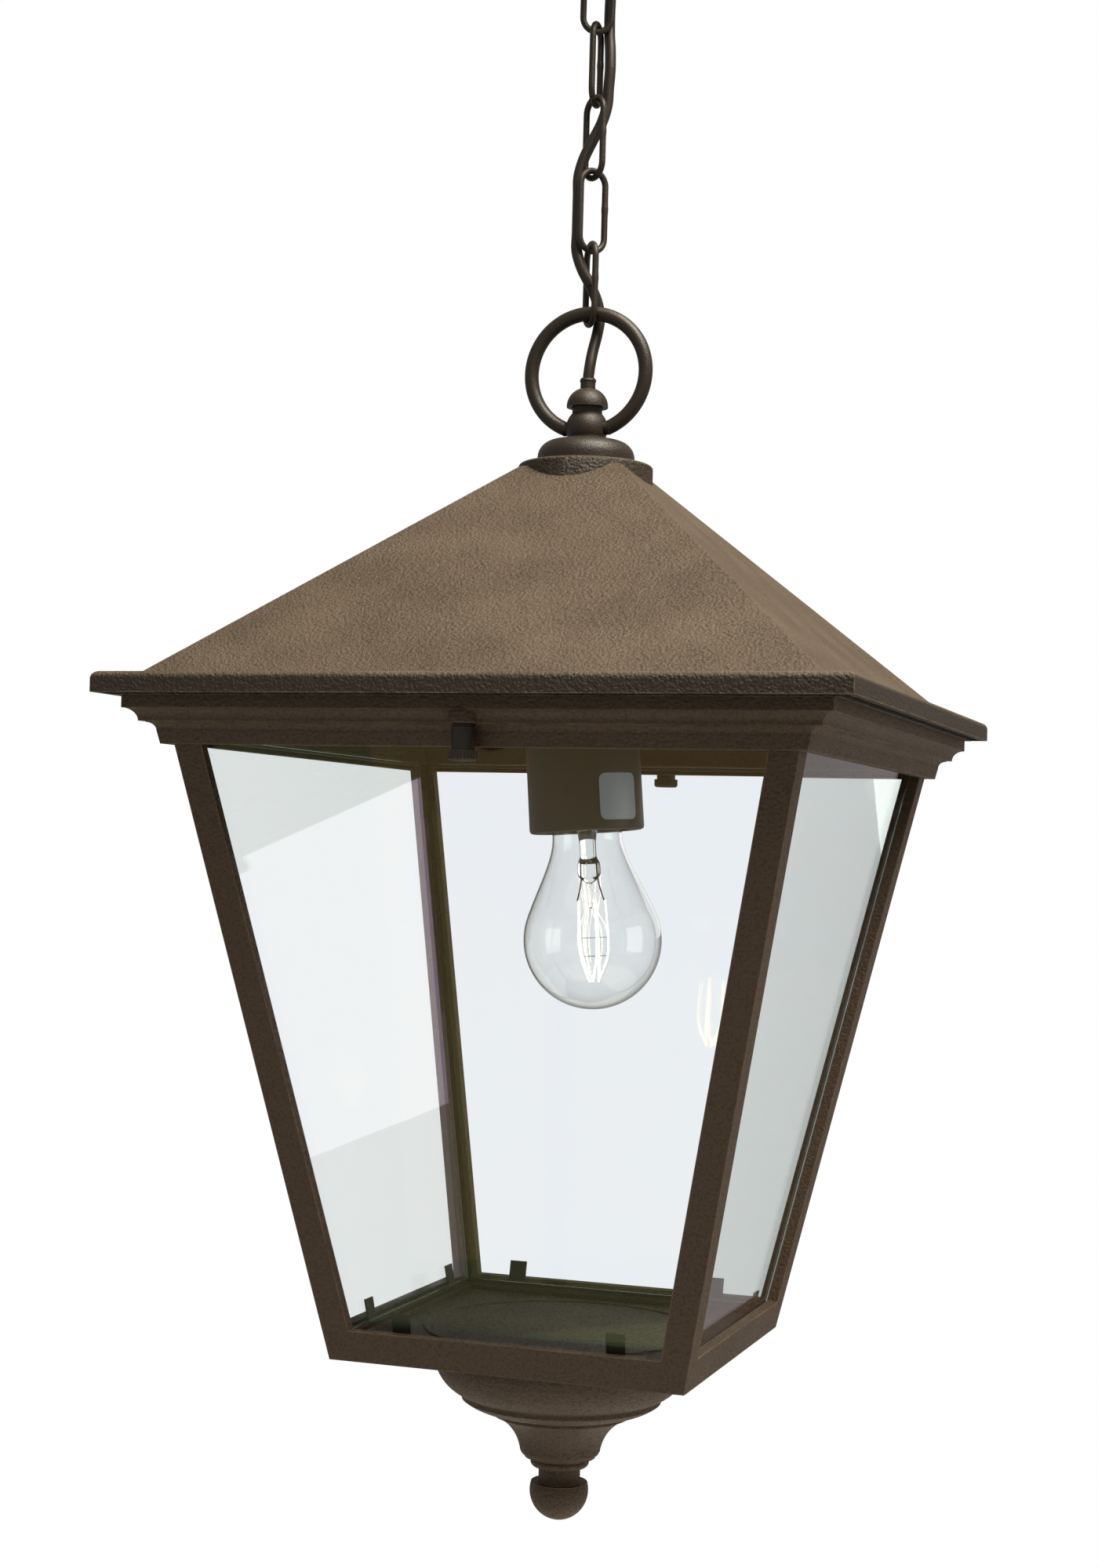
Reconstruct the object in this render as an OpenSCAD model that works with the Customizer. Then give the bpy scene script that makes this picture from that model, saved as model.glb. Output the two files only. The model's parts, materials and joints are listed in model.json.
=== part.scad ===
// Hanging lantern: a glazed, tapered square cage under a pyramid roof, hung by a ring and a
// short chain from a ceiling cup. Millimetres, +Z up. The origin is the centre of the ceiling
// face, so everything hangs below it, and the front of the lantern faces -Y.

/* [Ceiling fitting] */
// Outside diameter of the ceiling cup
cup_d = 92; // [80:1:120]
// Depth of the ceiling cup
cup_h = 28; // [26:1:40]
// Wall of the ceiling cup
cup_wall = 1.6; // [1:0.1:3]
// Distance between the two fixing holes in the ceiling strap
fixing_spacing = 54; // [48:1:60]
// Diameter of the fixing holes
fixing_hole_d = 5; // [4:0.1:6]
// Wire of the ceiling hook
hook_wire = 4.5; // [3.5:0.1:5]

/* [Chain and cable] */
// Wire of a chain link
link_wire = 2.8; // [2.2:0.1:3]
// Length of a link over its ends
link_length = 38.4; // [36:0.1:42]
// Width of a link over its sides
link_width = 15.4; // [15:0.1:18]
// Diameter of the supply cable
cable_d = 4.9; // [4:0.1:5]

/* [Ring and neck] */
// Diameter over the carrying ring
ring_d = 58.8; // [54:0.1:70]
// Wire of the carrying ring
ring_wire = 6.2; // [5:0.1:7]
// Diameter of the pins at the ring's ends
pin_d = 6; // [5:0.1:6.4]
// Diameter of the ball that carries the ring
ball_d = 18.4; // [18:0.1:24]

/* [Roof] */
// How far the eaves stand out over the cornice, on each side
eaves_overhang = 9.2; // [6:0.1:14]
// Height of the skirt round the eaves
skirt_h = 8.5; // [7:0.1:14]
// Width of the flat rim between the skirt and the slopes
rim_w = 14; // [12:0.5:20]
// Rise of the slopes from the rim to the collar
roof_rise = 99.5; // [80:0.5:120]
// Wall of the roof casting
roof_wall = 3; // [2.5:0.1:4]
// Diameter of the collar at the top of the roof
collar_d = 59; // [52:0.5:70]

/* [Cage] */
// Width of the cage where it leaves the cornice
cage_top_w = 257.8; // [200:0.1:290]
// Width of the cage at its bottom edge
cage_bottom_w = 152.4; // [130:0.1:190]
// Height of the cage below the cornice
cage_h = 251.7; // [200:0.1:300]
// Width of a post on each face
post_w = 12; // [10:0.1:16]
// Height of the bottom rail
rail_h = 13; // [10:0.1:18]
// Wall of the cage casting
frame_wall = 5; // [4:0.1:6]
// Thickness of the panes
glass_t = 3; // [2:0.1:4]
// How far the cornice stands out from its lower band to its fillet
cornice_projection = 11.7; // [9:0.1:16]

/* [Lampholder and lamp] */
// Diameter of the lampholder
holder_d = 50; // [46:0.5:60]
// Length of the lampholder below its strap
holder_l = 66; // [60:0.5:76]
// How far the lampholder leans on its strap, in degrees
holder_lean = 4; // [0:0.5:5]
// Diameter of the lamp's bulb
bulb_d = 60; // [45:0.5:70]
// Length of the lamp with its cap
bulb_l = 105; // [98:0.5:115]

/* [Finial] */
// Diameter of the bowl under the cage
bowl_d = 111.6; // [90:0.1:126]
// Diameter of the ball at the bottom
finial_ball_d = 25.4; // [20:0.1:32]

/* [Hidden] */
$fn = 64;

// Clearances
play = 0.3;            // between parts that hang in or move past each other
running = 0.06;        // between the ring's pins and their bores, on the radius
fit = 0.1;             // between fixed parts that slide together, on the radius
eps = 0.01;

// Ceiling fitting
strap_t = 2.5;
strap_w = 18;
stem_below_cup = 6;
hook_r = 7;                                            // centre line of the hook's bend
hook_seat_z = -(cup_h + stem_below_cup + 2 * hook_r);  // centre of the wire that carries the chain
grommet_at = [6.5, 14];
block = [24, 13, 9];

// Chain: each link hangs on the wire above it, and turns about that wire
links = 5;
link_turn = [20, 92, -36, 50, -54];                    // heading of each link's plane
link_pitch = link_length - 2 * link_wire - play;
link_r = (link_width - link_wire) / 2;
function pivot_z(i) = hook_seat_z + (hook_wire - link_wire) / 2 - i * link_pitch
    - (i == 0 ? (hook_wire - link_wire) / 2 : 0);

// Ring and neck
ring_r = (ring_d - ring_wire) / 2;
ring_top_z = pivot_z(links) + (link_wire + ring_wire) / 2 + play;
ring_z = ring_top_z - ring_r;
pin_reach = 10.2;                                      // where the ring's curve meets its pins
pin_z = ring_z - ring_r + 1.8;
pin_in = 4.3;
ball_flat = 8.2;
cable_bore_r = cable_d / 2 + 0.35;

// Lantern heights, from the lower edge of the eaves
slope_top_half = 22.5;
collar_top = skirt_h + roof_rise + 3;
disc_h = 10.7;
disc_d = 42.6;
ball_z = collar_top + disc_h + 5.8;
neck_top = ball_z + ball_d / 2 + 1.3;
eaves_z = pin_z - ball_z;
spigot_r = 5;
spigot_l = 31;
collar_floor = collar_top - 10;
lock_nut_h = 7;

// Cornice
cornice_h = 19.3;
cornice_ledge = 4.2;
cage_top_half = cage_top_w / 2;
cage_bottom_half = cage_bottom_w / 2;
band_half = cage_top_half + cornice_ledge;
fillet_half = band_half + cornice_projection;
fillet_bottom = -5.5;
cove_r = 5;
cove_bottom = fillet_bottom - cove_r;
cornice_top = 1.5;
shelf_bottom = -3.5;

// Roof
roof_half = fillet_half + eaves_overhang;
rim_half = roof_half - rim_w;
slope = roof_rise / (rim_half - slope_top_half);
skirt_round = 3;
slope_drop = 3.5;
rib_half = fillet_half + 2.6;
rib_t = 1.8;

// Cage
taper = (cage_top_half - cage_bottom_half) / cage_h;
taper_angle = atan(taper);
cage_bottom = -cornice_h - cage_h;
frame_top = shelf_bottom - fit;
floor_t = 4;
floor_top = cage_bottom + 7;
plate_t = 1.5;
sill_top = cage_bottom + 9;
head_rail_d = 9;
pane_inset = frame_wall + 0.2;
pane_edge = post_w - 3;
function cage_half(z) = cage_top_half + taper * (z + cornice_h);

// Thumb screws
boss_r = 6;
screw_y = fillet_half - 5.3;
screw_thread_r = 2.4;
screw_bore_r = 2.65;
screw_neck_r = 4.5;
screw_head_r = 5.7;
screw_head_h = 3.8;
screw_neck_end = -21.2;
washer_t = 1;
lug_r = 5.2;

// Lampholder, measured down its own axis from the strap's middle
strap_z = 21.6;
strap_half = rim_half - 35;
strap_mid = 30;
cover_h = 9;
skirt_wall = 2.2;
cap_r = 13;
cap_l = 22;
shell_r = cap_r + play;
tip_z = -38;
lamp_bottom = tip_z - bulb_l;
bulb_r = bulb_d / 2;
bulb_z = lamp_bottom + bulb_r;
bulb_wall = 0.7;
neck_r = 15.3;
glass_top = tip_z - 4 - cap_l + 2;

// Finial
bowl_r = bowl_d / 2;
bead_r = bowl_r - 12.6;
bead_z = cage_bottom - 21.7;
lip_r = 17.1;
lip_z = cage_bottom - 46;
finial_neck_r = 9;
finial_ball_r = finial_ball_d / 2;
finial_ball_z = lip_z - 17.1;
finial_bead_z = lip_z - 2.6;
stud_r = 4;
stud_top = cage_bottom + floor_t + 0.8;

// Supply cable: points along its route, from the terminal block down to the roof
cable_route = [
    [6.5, 14, -19], [6.5, 14, -26], [6, 13, -33], [5, 11, -40], [4, 9, -47], [3.5, 7.5, -54],
    [3.5, 7, -62], [3.5, 6.5, -71], [4, 5.5, -80], [5, 4, -87], [5.5, 3, -96], [5, 3, -104],
    [4.5, 3, -112], [2.5, 2, -120], [-1, 0.5, -128], [-4.5, -0.5, -136], [-6.5, -1, -144],
    [-6.5, -1, -152], [-6.5, -1, -160], [-6.5, -1, -169], [-6.5, -1, -177], [-4, -0.5, -185],
    [-0.5, 1, -192], [1.5, 4.5, -198], [2.5, 6.5, -205], [2, 5, -213], [1, 2.5, -221],
    [0.5, 0.5, -228], [0, 0, -235], [0, 0, -244], [0, 0, -254], [0, 0, -264], [0, 0, -276],
    [0, 0, -288]
];
cable_cuts = [0, 6, 10, 14, 18, 22, 26, 33];           // where one length hands over to the next
core_r = 1;
live_route = [[1.1, 0, 94], [2, 0, 84], [5, -3, 70], [8, -5, 54], [6, -4, 40], [2.4, -1, 31], [1.2, 0, 24]];
neutral_route = [[-1.1, 0, 94], [-2, 0, 84], [-4, 4, 70], [-6, 7, 54], [-5, 5, 40], [-2.2, 1, 31],
    [-1, 0, 24]];

bronze = [0.23, 0.19, 0.14];
dark_bronze = [0.14, 0.11, 0.08];
steel = [0.62, 0.62, 0.6];
brass = [0.72, 0.58, 0.3];
charcoal = [0.24, 0.24, 0.23];
black = [0.06, 0.06, 0.06];
clear = [0.82, 0.9, 0.92, 0.35];

// ---- Shared shapes ----

// Everything below the neck's pins is placed from the lower edge of the eaves
module at_eaves() {
    translate([0, 0, eaves_z]) children();
}

// A profile in X and height, carried round a square with mitred corners
module mitred(reach) {
    intersection() {
        rotate([90, 0, 0]) linear_extrude(2 * reach, center = true) children();
        rotate([90, 0, 90]) linear_extrude(2 * reach, center = true) children();
    }
}

module both_ways() {
    children();
    mirror([1, 0]) children();
}

// A square block of the given half width, between two heights
module block_between(half, low, high) {
    translate([-half, -half, low]) cube([2 * half, 2 * half, high - low]);
}

// A tapered square block inside the cage's outer faces, set in by an inset
module cage_block(inset, low, high) {
    low_half = cage_half(low) - inset;
    high_half = cage_half(high) - inset;
    mitred(cage_half(high)) polygon([
        [-low_half, low], [low_half, low], [high_half, high], [-high_half, high]
    ]);
}

// Places its children on one of the cage's four faces: X along it, Y up it, Z outwards
module on_face(i) {
    rotate([0, 0, 90 * i]) translate([0, -cage_top_half, -cornice_h])
        rotate([90 + taper_angle, 0, 0]) children();
}

module tube(r_out, r_in, low, high) {
    translate([0, 0, low]) difference() {
        cylinder(r = r_out, h = high - low);
        translate([0, 0, -1]) cylinder(r = r_in, h = high - low + 2);
    }
}

module rod(r, low, high) {
    translate([0, 0, low]) cylinder(r = r, h = high - low);
}

function unit(v) = v / norm(v);
function heading(p, i) = unit(p[min(i + 1, len(p) - 1)] - p[max(i - 1, 0)]);
function ring_of(p, i, r, n) = let (t = heading(p, i), u = unit(cross(t, [0, 1, 0])), v = cross(t, u))
    [for (k = [0:n - 1]) p[i] + r * (cos(360 * k / n) * u + sin(360 * k / n) * v)];

// A tube of n sides along the points first to last of a route
module swept(p, first, last, r, n) {
    count = last - first + 1;
    sides = [for (i = [0:count - 2], k = [0:n - 1])
        [i * n + k, (i + 1) * n + k, (i + 1) * n + (k + 1) % n, i * n + (k + 1) % n]];
    start = [[for (k = [0:n - 1]) k]];
    end = [[for (k = [n - 1:-1:0]) (count - 1) * n + k]];
    polyhedron([for (i = [first:last]) each ring_of(p, i, r, n)], concat(sides, start, end));
}

// ---- Ceiling fitting ----

module ceiling_strap() {
    color(steel) difference() {
        translate([-fixing_spacing / 2 - 9, -strap_w / 2, -strap_t])
            cube([fixing_spacing + 18, strap_w, strap_t]);
        for (x = [-1, 1]) translate([x * fixing_spacing / 2, 0, -strap_t - 1])
            cylinder(d = fixing_hole_d, h = strap_t + 2);
        translate([0, 0, -strap_t - 1]) cylinder(r = hook_wire / 2 + fit, h = strap_t + 2);
    }
}

module ceiling_cup() {
    color(dark_bronze) difference() {
        cup_solid(cup_d / 2, 6, 0, -cup_h);
        cup_solid(cup_d / 2 - cup_wall, 6 - cup_wall, 1, -cup_h + cup_wall);
        translate([0, 0, -cup_h - 1]) cylinder(r = hook_wire / 2 + play, h = cup_wall + 2);
        translate([grommet_at[0], grommet_at[1], -cup_h - 1])
            cylinder(r = cable_d / 2 + 1.7, h = cup_wall + 2);
    }
}

// A round cup, open upwards, with a rounded lower edge
module cup_solid(r, edge, high, low) {
    rotate_extrude() {
        translate([0, low + edge]) square([r, high - low - edge]);
        translate([0, low]) square([r - edge, edge]);
        translate([r - edge, low + edge]) intersection() {
            circle(r = edge);
            translate([0, -edge]) square(edge);
        }
    }
}

module ceiling_hook() {
    bend_z = hook_seat_z + hook_r;
    color(dark_bronze) {
        rod(hook_wire / 2 - 0.1, bend_z + hook_r, 0);
        translate([0, 0, bend_z]) rotate([90, 0, link_turn[0] + 90]) rotate([0, 0, 90])
            rotate_extrude(angle = 290) translate([hook_r, 0]) circle(d = hook_wire);
    }
}

module hook_nuts() {
    bore = hook_wire / 2 + fit / 2;
    color(steel) {
        difference() {
            translate([0, 0, -strap_t - 3.5]) cylinder(r = 4.6, h = 3.5, $fn = 6);
            translate([0, 0, -strap_t - 5]) cylinder(r = bore, h = 6);
        }
        tube(7, bore, -cup_h - 3.5, -cup_h);
    }
}

module cable_grommet() {
    color(black) translate([grommet_at[0], grommet_at[1], 0]) {
        tube(cable_d / 2 + 1.6, cable_d / 2 + 0.5, -cup_h - 1.5, -cup_h + cup_wall + 1);
        tube(cable_d / 2 + 3.2, cable_d / 2 + 0.5, -cup_h - 1.5, -cup_h);
    }
}

module terminal_block() {
    color("ivory") translate([grommet_at[0], grommet_at[1] + 2, -10]) difference() {
        translate([-block[0] / 2, -block[1] / 2, -block[2]]) cube(block);
        for (x = [-8, 0, 8]) translate([x, 0, -3]) cylinder(r = 1.8, h = 5);
    }
}

// ---- Chain and cable ----

// A link: two straight sides joined by half rounds, in a plane that holds Z
module chain_link(i) {
    reach = link_length / 2 - link_wire / 2 - link_r;
    middle = pivot_z(i + 1) + link_r + reach;
    color(dark_bronze) translate([0, 0, middle]) rotate([90, 0, link_turn[i]]) {
        for (s = [0, 180]) rotate([0, 0, s]) {
            translate([0, reach]) rotate_extrude(angle = 180) translate([link_r, 0]) circle(d = link_wire);
            translate([link_r, -reach, 0]) rotate([-90, 0, 0]) cylinder(d = link_wire, h = 2 * reach);
        }
    }
}

module cable(i) {
    color(black) swept(cable_route, cable_cuts[i], cable_cuts[i + 1], cable_d / 2, 10);
}

// ---- Ring and neck ----

module carrying_ring() {
    from = asin(pin_reach / ring_r);
    color(dark_bronze) {
        translate([0, 0, ring_z]) rotate([90, 0, 0]) rotate([0, 0, from - 90])
            rotate_extrude(angle = 360 - 2 * from) translate([ring_r, 0]) circle(d = ring_wire);
        for (s = [0, 180]) rotate([0, 0, s])
            translate([pin_in, 0, pin_z]) rotate([0, 90, 0]) cylinder(d = pin_d, h = pin_reach + 0.6 - pin_in);
    }
}

module neck() {
    color(dark_bronze) at_eaves() difference() {
        union() {
            intersection() {
                translate([0, 0, ball_z]) sphere(d = ball_d);
                translate([-ball_flat, -ball_d, collar_top + disc_h])
                    cube([2 * ball_flat, 2 * ball_d, ball_d]);
            }
            rod(8.3, collar_top + disc_h, ball_z - 4);
            rod(6.6, ball_z + 4, neck_top);
            rod(spigot_r, collar_top + disc_h - spigot_l, ball_z);
        }
        rod(cable_bore_r, 0, ball_z + 20);
        for (s = [0, 180]) rotate([0, 0, s]) translate([pin_in - 0.3, 0, ball_z]) rotate([0, 90, 0])
            cylinder(r = pin_d / 2 + running, h = ball_d);
    }
}

module gland_nut() {
    foot = neck_top - 1.3;
    color(dark_bronze) at_eaves() difference() {
        rotate_extrude() {
            intersection() {
                translate([0.9, foot + 0.4]) circle(r = 8.2);
                translate([0, foot]) square([20, 8]);
            }
            translate([0, foot]) square([3.3, 12.8]);
            translate([2.6, foot + 11.8]) circle(r = 1);
        }
        rod(cable_d / 2 + 0.15, foot - 1, foot + 20);
        rod(7, foot - 1, foot + 2.6);
    }
}

module gland_seal() {
    color(black) at_eaves() tube(5.4, cable_d / 2 + fit, neck_top, neck_top + 1.3);
}

module cap_disc() {
    round_r = 7.5;
    color(dark_bronze) at_eaves() difference() {
        rotate_extrude() {
            translate([0, collar_top]) square([disc_d / 2, disc_h - round_r]);
            translate([0, collar_top]) square([disc_d / 2 - round_r, disc_h]);
            translate([disc_d / 2 - round_r, collar_top + disc_h - round_r]) intersection() {
                circle(r = round_r);
                square(round_r);
            }
        }
        rod(spigot_r + fit, collar_top - 1, collar_top + disc_h + 1);
    }
}

module neck_lock_nut() {
    color(steel) at_eaves() difference() {
        union() {
            translate([0, 0, collar_floor - lock_nut_h]) cylinder(r = 9, h = lock_nut_h, $fn = 6);
            rod(11, collar_floor - 1.6, collar_floor);
        }
        rod(spigot_r + fit / 2, collar_floor - lock_nut_h - 1, collar_floor + 1);
    }
}

// ---- Roof ----

module roof_outline() {
    polygon([
        [-1, 0], [roof_half, 0], [roof_half, skirt_h - skirt_round], [roof_half - skirt_round, skirt_h],
        [rim_half, skirt_h], [slope_top_half, skirt_h + roof_rise], [-1, skirt_h + roof_rise]
    ]);
    translate([roof_half - skirt_round, skirt_h - skirt_round]) circle(r = skirt_round);
}

module roof_cavity() {
    ceiling = skirt_h - roof_wall;
    inner_rim = rim_half - 2;
    polygon([
        [-1, -1], [roof_half - roof_wall, -1], [roof_half - roof_wall, ceiling], [inner_rim, ceiling],
        [inner_rim - (collar_floor - ceiling) / slope, collar_floor], [-1, collar_floor]
    ]);
}

module collar() {
    edge = 1.5;
    rotate_extrude() {
        translate([0, collar_floor - 4]) square([collar_d / 2, collar_top - edge - collar_floor + 4]);
        translate([0, collar_top - edge]) square([collar_d / 2 - edge, edge]);
        translate([collar_d / 2 - edge, collar_top - edge]) circle(r = edge);
    }
}

module roof_shell() {
    ceiling = skirt_h - roof_wall;
    post_x = strap_half - 8;
    post_top = skirt_h + slope * (rim_half - post_x - 5) - 1;
    color(bronze) at_eaves() difference() {
        union() {
            difference() {
                union() {
                    mitred(roof_half) both_ways() roof_outline();
                    collar();
                }
                mitred(roof_half) both_ways() roof_cavity();
            }
            difference() {
                block_between(rib_half, -0.5, ceiling + eps);
                block_between(rib_half - rib_t, -1, ceiling + 1);
            }
            for (s = [-1, 1]) {
                translate([0, s * screw_y, 0]) rod(lug_r, cornice_top + play, ceiling + eps);
                translate([s * post_x, 0, 0]) rod(5, strap_z + 1, post_top);
            }
        }
        rod(spigot_r + fit, collar_floor - 5, collar_top + 1);
        for (s = [-1, 1]) {
            translate([0, s * screw_y, 0]) rod(screw_bore_r, 0, skirt_h - 1.2);
            translate([s * post_x, 0, 0]) rod(1.6 + fit / 2, strap_z, strap_z + 10);
        }
    }
}

module roof_seal() {
    outer = fillet_half - 0.8;
    color(black) at_eaves() difference() {
        block_between(outer, cornice_top + play, skirt_h - roof_wall);
        block_between(outer - 3.5, 0, skirt_h);
        for (s = [-1, 1]) translate([0, s * screw_y, 0]) rod(lug_r + 1, 0, skirt_h);
    }
}

// ---- Lampholder ----

// The lampholder's own axis: it hangs from the middle of the strap and leans towards +X
module at_holder() {
    at_eaves() translate([0, 0, strap_z]) rotate([0, -holder_lean, 0]) children();
}

module holder_strap() {
    rise = strap_mid * tan(holder_lean);
    end = strap_half;
    shoulder = strap_mid + 12;
    color(steel) difference() {
        at_eaves() translate([0, 0, strap_z]) rotate([90, 0, 0]) linear_extrude(22, center = true) polygon([
            [-end, -1], [-shoulder, -1], [-strap_mid, -rise - 1], [strap_mid, rise - 1], [shoulder, -1],
            [end, -1], [end, 1], [shoulder, 1], [strap_mid, rise + 1], [-strap_mid, -rise + 1],
            [-shoulder, 1], [-end, 1]
        ]);
        at_holder() rod(spigot_r + fit, -4, 4);
        for (s = [-1, 1]) at_eaves() translate([s * (end - 8), 0, strap_z]) rod(2, -3, 3);
    }
}

module strap_screws() {
    color(steel) for (s = [-1, 1]) at_eaves() translate([s * (strap_half - 8), 0, strap_z]) {
        rod(1.6, -1.2, 9);
        rod(3.4, -3.4, -1);
    }
}

module holder_nipple() {
    color(steel) at_holder() tube(spigot_r, 3.6, -10, 7);
}

module nipple_nut() {
    color(steel) at_holder() difference() {
        translate([0, 0, 1.2]) cylinder(r = 8.5, h = 4, $fn = 6);
        rod(spigot_r + fit / 2, 0, 8);
    }
}

module holder_cover() {
    top = -1.2;
    edge = 3;
    r = holder_d / 2 - 1;
    color(charcoal) at_holder() difference() {
        rotate_extrude() {
            translate([0, top - cover_h]) square([r, cover_h - edge]);
            translate([0, top - edge]) square([r - edge, edge]);
            translate([r - edge, top - edge]) circle(r = edge);
        }
        rod(spigot_r + fit, -20, 0);
        rod(r - 2.5, top - cover_h - 1, top - 3);
    }
}

module holder_skirt() {
    edge = 2.2;
    r = holder_d / 2;
    color(charcoal) at_holder() difference() {
        rotate_extrude() {
            translate([0, -holder_l + edge]) square([r, holder_l - edge - cover_h - 1.3]);
            translate([0, -holder_l]) square([r - edge, edge]);
            translate([r - edge, -holder_l + edge]) circle(r = edge);
        }
        rod(r - skirt_wall, -holder_l + 3, 0);
        rod(neck_r + 3.2, -holder_l - 1, 0);
    }
}

module holder_insert() {
    color("white") at_holder() difference() {
        rod(shell_r + 5.5, -holder_l + 12, -cover_h - 5);
        rod(shell_r + 0.9, -holder_l, tip_z + 2);
        rod(2.6, tip_z - 5, 0);
    }
}

module screw_shell() {
    color(brass) at_holder() tube(shell_r + 0.8, shell_r, tip_z - cap_l, tip_z + 1);
}

module holder_contact() {
    color(brass) at_holder() {
        rod(3.6, tip_z + fit, tip_z + 1.2);
        rod(2.5, tip_z + 1, -cover_h - 5);
    }
}

module rating_label() {
    r = holder_d / 2;
    color("lightblue") at_holder() rotate([0, 0, 39]) intersection() {
        tube(r + 0.25, r + 0.02, -holder_l + 4, -holder_l + 24);
        translate([0, -r - 5, -holder_l]) cube([22, r + 5, 40]);
    }
}

module live_wire() {
    color("brown") at_eaves() swept(live_route, 0, len(live_route) - 1, core_r, 8);
}

module neutral_wire() {
    color("blue") at_eaves() swept(neutral_route, 0, len(neutral_route) - 1, core_r, 8);
}

// ---- Lamp ----

// The bulb's outline, drawn in by a wall: a ball, a cone that leaves it, and a straight neck
module bulb_outline(wall) {
    r = bulb_r - wall;
    leave = 30;
    cone_r = r * cos(leave);
    cone_z = bulb_z + r * sin(leave);
    neck_foot = glass_top - 18;
    intersection() {
        union() {
            translate([0, bulb_z]) circle(r = r);
            polygon([
                [0, bulb_z], [cone_r, cone_z], [neck_r - wall + 1.4, neck_foot + 1],
                [neck_r - wall, neck_foot + 7], [neck_r - wall, glass_top - 1], [cap_r - 1 - wall, glass_top + wall], [0, glass_top + wall]
            ]);
        }
        translate([0, lamp_bottom - 1]) square([bulb_r + 5, bulb_l + 5]);
    }
}

module bulb_glass() {
    color(clear) at_holder() difference() {
        rotate_extrude() bulb_outline(0);
        rotate_extrude() bulb_outline(bulb_wall);
    }
}

module bulb_cap() {
    top = tip_z - 3.6;
    color(steel) at_holder() {
        rod(cap_r, glass_top + bulb_wall, top - 3);
        translate([0, 0, top - 3]) cylinder(r1 = cap_r, r2 = 7.6, h = 3);
    }
}

module bulb_tip() {
    color(black) at_holder() rod(7, tip_z - 3.6, tip_z - 1.4);
    color(steel) at_holder() rod(4.4, tip_z - 1.4, tip_z);
}

module bulb_stem() {
    foot = glass_top - 21;
    color(clear) at_holder() {
        rod(4.2, foot + 6, glass_top - bulb_wall);
        translate([-4.6, -1.6, foot]) cube([9.2, 3.2, 6.5]);
        rod(1, foot - 12, foot);
    }
}

module bulb_wires() {
    foot = glass_top - 21;
    color(steel) at_holder() for (s = [-1, 1])
        translate([s * 3.6, 0, foot]) rotate([0, s * 168, 0]) cylinder(r = 0.35, h = 12);
}

module filament() {
    strands = 7;
    top = glass_top - 36;
    color("orange") at_holder() for (k = [0:strands - 1]) rotate([0, 0, 360 * k / strands]) {
        translate([7, 0, top - 24]) cylinder(r = 0.25, h = 24);
        translate([7, 0, top - 24]) rotate([0, -160, 0]) cylinder(r = 0.25, h = 12);
    }
}

// ---- Cornice and cage ----

module cornice_outline() {
    difference() {
        polygon([
            [-1, cornice_top], [fillet_half, cornice_top], [fillet_half, cove_bottom],
            [band_half + 4.4, cove_bottom], [band_half + 4.4, cove_bottom - 3.6],
            [band_half + 1.2, cove_bottom - 3.6], [band_half, -cornice_h], [-1, -cornice_h]
        ]);
        translate([fillet_half, cove_bottom]) circle(r = cove_r);
        translate([band_half + 4.4, cove_bottom - 3.6]) circle(r = 3.2);
    }
}

module cornice() {
    color(bronze) at_eaves() difference() {
        union() {
            mitred(fillet_half) both_ways() cornice_outline();
            for (s = [-1, 1]) translate([0, s * screw_y, 0]) {
                rod(boss_r, cove_bottom, -boss_r - 1);
                translate([0, 0, -boss_r - 1]) sphere(r = boss_r);
            }
        }
        cage_block(-fit, -cornice_h - 1, shelf_bottom);
        block_between(cage_half(shelf_bottom) - head_rail_d - 4, shelf_bottom - 1, cornice_top + 1);
        for (s = [-1, 1]) translate([0, s * screw_y, 0]) {
            rod(screw_thread_r + play, cove_bottom - 1, 4);
            rod(screw_neck_r + play, -cornice_h - 1, cove_bottom);
        }
        at_frame_screws() rod(2, shelf_bottom - 1, cornice_top + 1);
    }
}

module at_frame_screws() {
    y = cage_half(frame_top) - head_rail_d / 2;
    for (i = [0:3], x = [-1, 1]) rotate([0, 0, 90 * i]) translate([x * cage_top_half * 0.62, -y, 0])
        children();
}

module frame_screws() {
    color(steel) at_eaves() at_frame_screws() {
        rod(1.6, frame_top - 7, cornice_top);
        rod(3.2, cornice_top, cornice_top + 2.2);
    }
}

// Two windows at once: a trapezium cut right through, between two opposite faces
module window_cut() {
    low = cage_bottom + rail_h;
    high = -cornice_h + 2;
    rotate([90, 0, 0]) linear_extrude(2 * cage_half(0), center = true) polygon([
        [-cage_half(low) + post_w, low], [cage_half(low) - post_w, low],
        [cage_half(high) - post_w, high], [-cage_half(high) + post_w, high]
    ]);
}

module cage_frame() {
    sill_half = cage_half(sill_top) - frame_wall - 4.5;
    color(bronze) at_eaves() difference() {
        cage_block(0, cage_bottom, frame_top);
        cage_block(frame_wall, sill_top, -cornice_h + 4);
        cage_block(head_rail_d, -cornice_h + 3, frame_top + 1);
        block_between(sill_half, cage_bottom + floor_t, sill_top + 1);
        window_cut();
        rotate([0, 0, 90]) window_cut();
        rod(stud_r + fit, cage_bottom - 1, cage_bottom + floor_t + 1);
        at_frame_screws() rod(1.6 + fit / 2, frame_top - 8, frame_top + 1);
    }
}

module pane(i) {
    low = (sill_top + cornice_h) / cos(taper_angle) + 0.8;
    high = 2;
    function half(v) = cage_top_half + v * sin(taper_angle) - pane_edge;
    color(clear) at_eaves() on_face(i) translate([0, 0, -pane_inset - glass_t])
        linear_extrude(glass_t) polygon([
            [-half(low), low], [half(low), low], [half(high), high], [-half(high), high]
        ]);
}

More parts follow.
